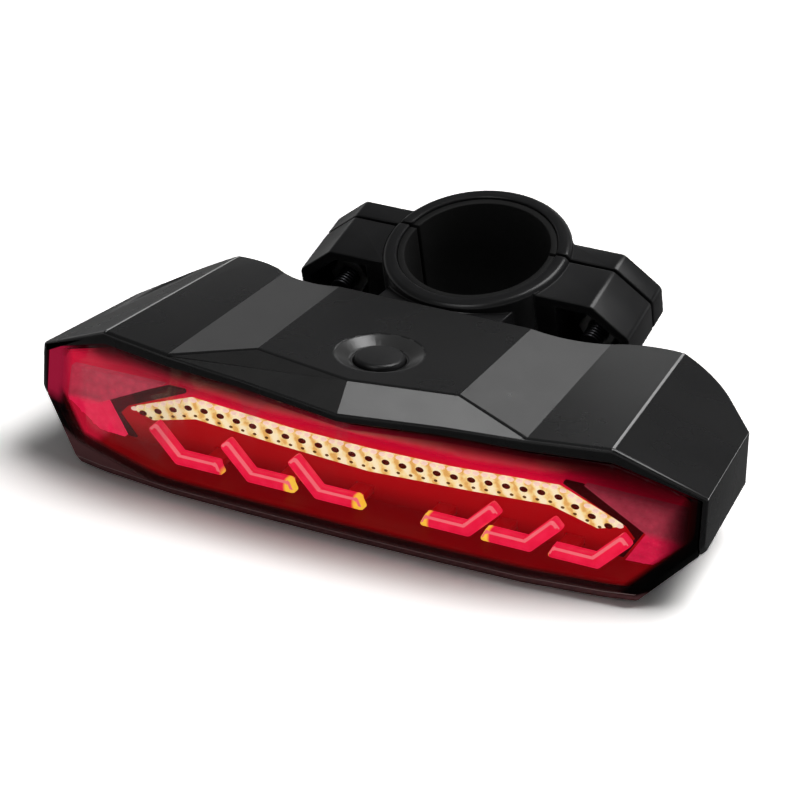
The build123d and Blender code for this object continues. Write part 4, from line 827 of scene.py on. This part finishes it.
for word, side in (("left", -1), ("right", 1)):
    node = f"{word}_clamp_screw"
    plain = softened(node, SCREW_CORNER, f"{word}_plain_screw")
    plain.data.materials.append(forged)
    name = f"{word}_ridges"
    ridges = grown(name, bpy.data.meshes.new(name), knurl_tree, knurl_sockets, {
        **KNURL, "Head Radius": HEAD_RADIUS - KNURL["Ridge Radius"] * RIDGE_SINK, "Material": forged})
    middle = Vector((side * EAR_MIDDLE[0], *EAR_MIDDLE[1:])) + screw_axis * HEAD_MIDDLE
    tilted = screw_axis.to_track_quat("Z", "X").to_matrix().to_4x4()
    ridges.data.transform(Matrix.Translation(middle) @ tilted)
    fit(joined(node, plain, ridges), node, node, "black_steel")

# Nuts: M4 hexagon nuts, cold formed and zinc plated, dropped into the ears' pockets. The plating has a
# faint warm and cool cloud.
NUT_CORNER = 0.00025
zinc = grained("zinc_plated_steel", "#8d8f93", "#b6b4ae", (0.28, 0.42), 1.5, 0.2, 0.02, Metallic=1.0)
fit(softened("clamp_nuts", NUT_CORNER), "clamp_nuts", "lamp", "steel", zinc)

# Base cover: a black ABS plate from the same die set as the shell, held by four countersunk screws with
# a gasket under its edge. The five sound holes are moulded through it.
COVER_CORNER = 0.00025
COVER_SCREW_CORNER = 0.0001


def dress(node, material):
    """Gives a CAD node its material and leaves its shape alone."""
    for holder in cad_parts[node].material_slots:
        holder.material = material


fit(softened("base_cover", COVER_CORNER), "base_cover", "lamp", "black_shell", moulded_abs)
fit(softened("cover_screws", COVER_SCREW_CORNER), "cover_screws", "lamp", "steel", zinc)
# The gasket is cut from a dull, even sheet
gasket_rubber = grained("cut_silicone_sheet", "#101010", "#1a1a1a", (0.5, 0.65), 4, 0.2, 0.03)
dress("cover_gasket", gasket_rubber)

# Charging port: a drawn steel shell with a tongue, soldered to its small board, behind a rubber flap
# that turns on a roll along its foot. The plating is bright, the flap satin.
FLAP_CORNER = 0.0003
drawn_steel = grained("drawn_nickel_plated_steel", "#9a9a98", "#bdbab4", (0.2, 0.34), 2.0, 0.15, 0.01,
                      Metallic=1.0)
dress("charge_port", drawn_steel)
flap_rubber = grained("moulded_tpu", "#131313", "#1d1d1e", (0.45, 0.6), 3, 0.25, 0.04,
                      Specular_IOR_Level=0.35)
fit(softened("port_cover", FLAP_CORNER), "port_cover", "port_cover", "rubber", flap_rubber)

# Boards: glass-epoxy with green solder mask over copper tracks. A square pattern in the mask's tone
# stands for the tracks under it.
TRACKS = 260.0  # to the metre, so that each is 3.8 mm long
WEAVE = 1500.0  # to the metre, so that each bundle of glass is 0.7 mm across

masked, tree = start_material("solder_masked_glass_epoxy")
spot = add_node(tree, "ShaderNodeTexCoord").outputs["Object"]
tracks = add_node(tree, "ShaderNodeTexBrick", {
    "Vector": spot, "Scale": TRACKS, "Color1": srgb("#0f4a26"), "Color2": srgb("#125a2e"),
    "Mortar": srgb("#1d7a42"), "Mortar Size": 0.03})
weave = add_node(tree, "ShaderNodeTexNoise", {"Vector": spot, "Scale": WEAVE, "Detail": 1.0})
sheen = add_node(tree, "ShaderNodeMapRange", {
    "Value": weave.outputs["Fac"], "To Min": 0.25, "To Max": 0.4})
mask = add_node(tree, "ShaderNodeBsdfPrincipled", {
    "Base Color": tracks.outputs["Color"], "Roughness": sheen.outputs["Result"]})
add_node(tree, "ShaderNodeOutputMaterial", {"Surface": mask.outputs[0]})
for node in ("led_board", "main_board", "charge_board"):
    dress(node, masked)

# Light sources: diode packages of clear epoxy over a phosphor, soldered to the board behind the bar and
# the arrows. The bar's look pale yellow, the arrows' amber.
dress("bar_leds", grained("warm_phosphor_epoxy", "#f2c25c", "#ffe9a8", (0.1, 0.2), 0.8, 0.1, 0.01,
                          Emission_Color=srgb("#ffd890"), Emission_Strength=0.6))
dress("turn_leds", grained("amber_phosphor_epoxy", "#f08a18", "#ffb545", (0.1, 0.2), 0.8, 0.1, 0.01,
                           Emission_Color=srgb("#ff9c30"), Emission_Strength=0.6))

# Inside parts: the cell in its shrunk, glossy blue sleeve, the sounder and switch in dull moulded black
# resin, and the small plated screws of the boards and the bracket.
dress("battery", grained("shrunk_pvc_sleeve", "#123a7c", "#1b4c96", (0.2, 0.35), 6, 0.4, 0.05))
resin = grained("moulded_phenolic_resin", "#101011", "#1d1d1f", (0.4, 0.55), 2, 0.2, 0.03)
for node in ("buzzer", "tact_switch", "switch_plunger"):
    dress(node, resin)
for node in ("board_screws", "bracket_screws"):
    dress(node, zinc)
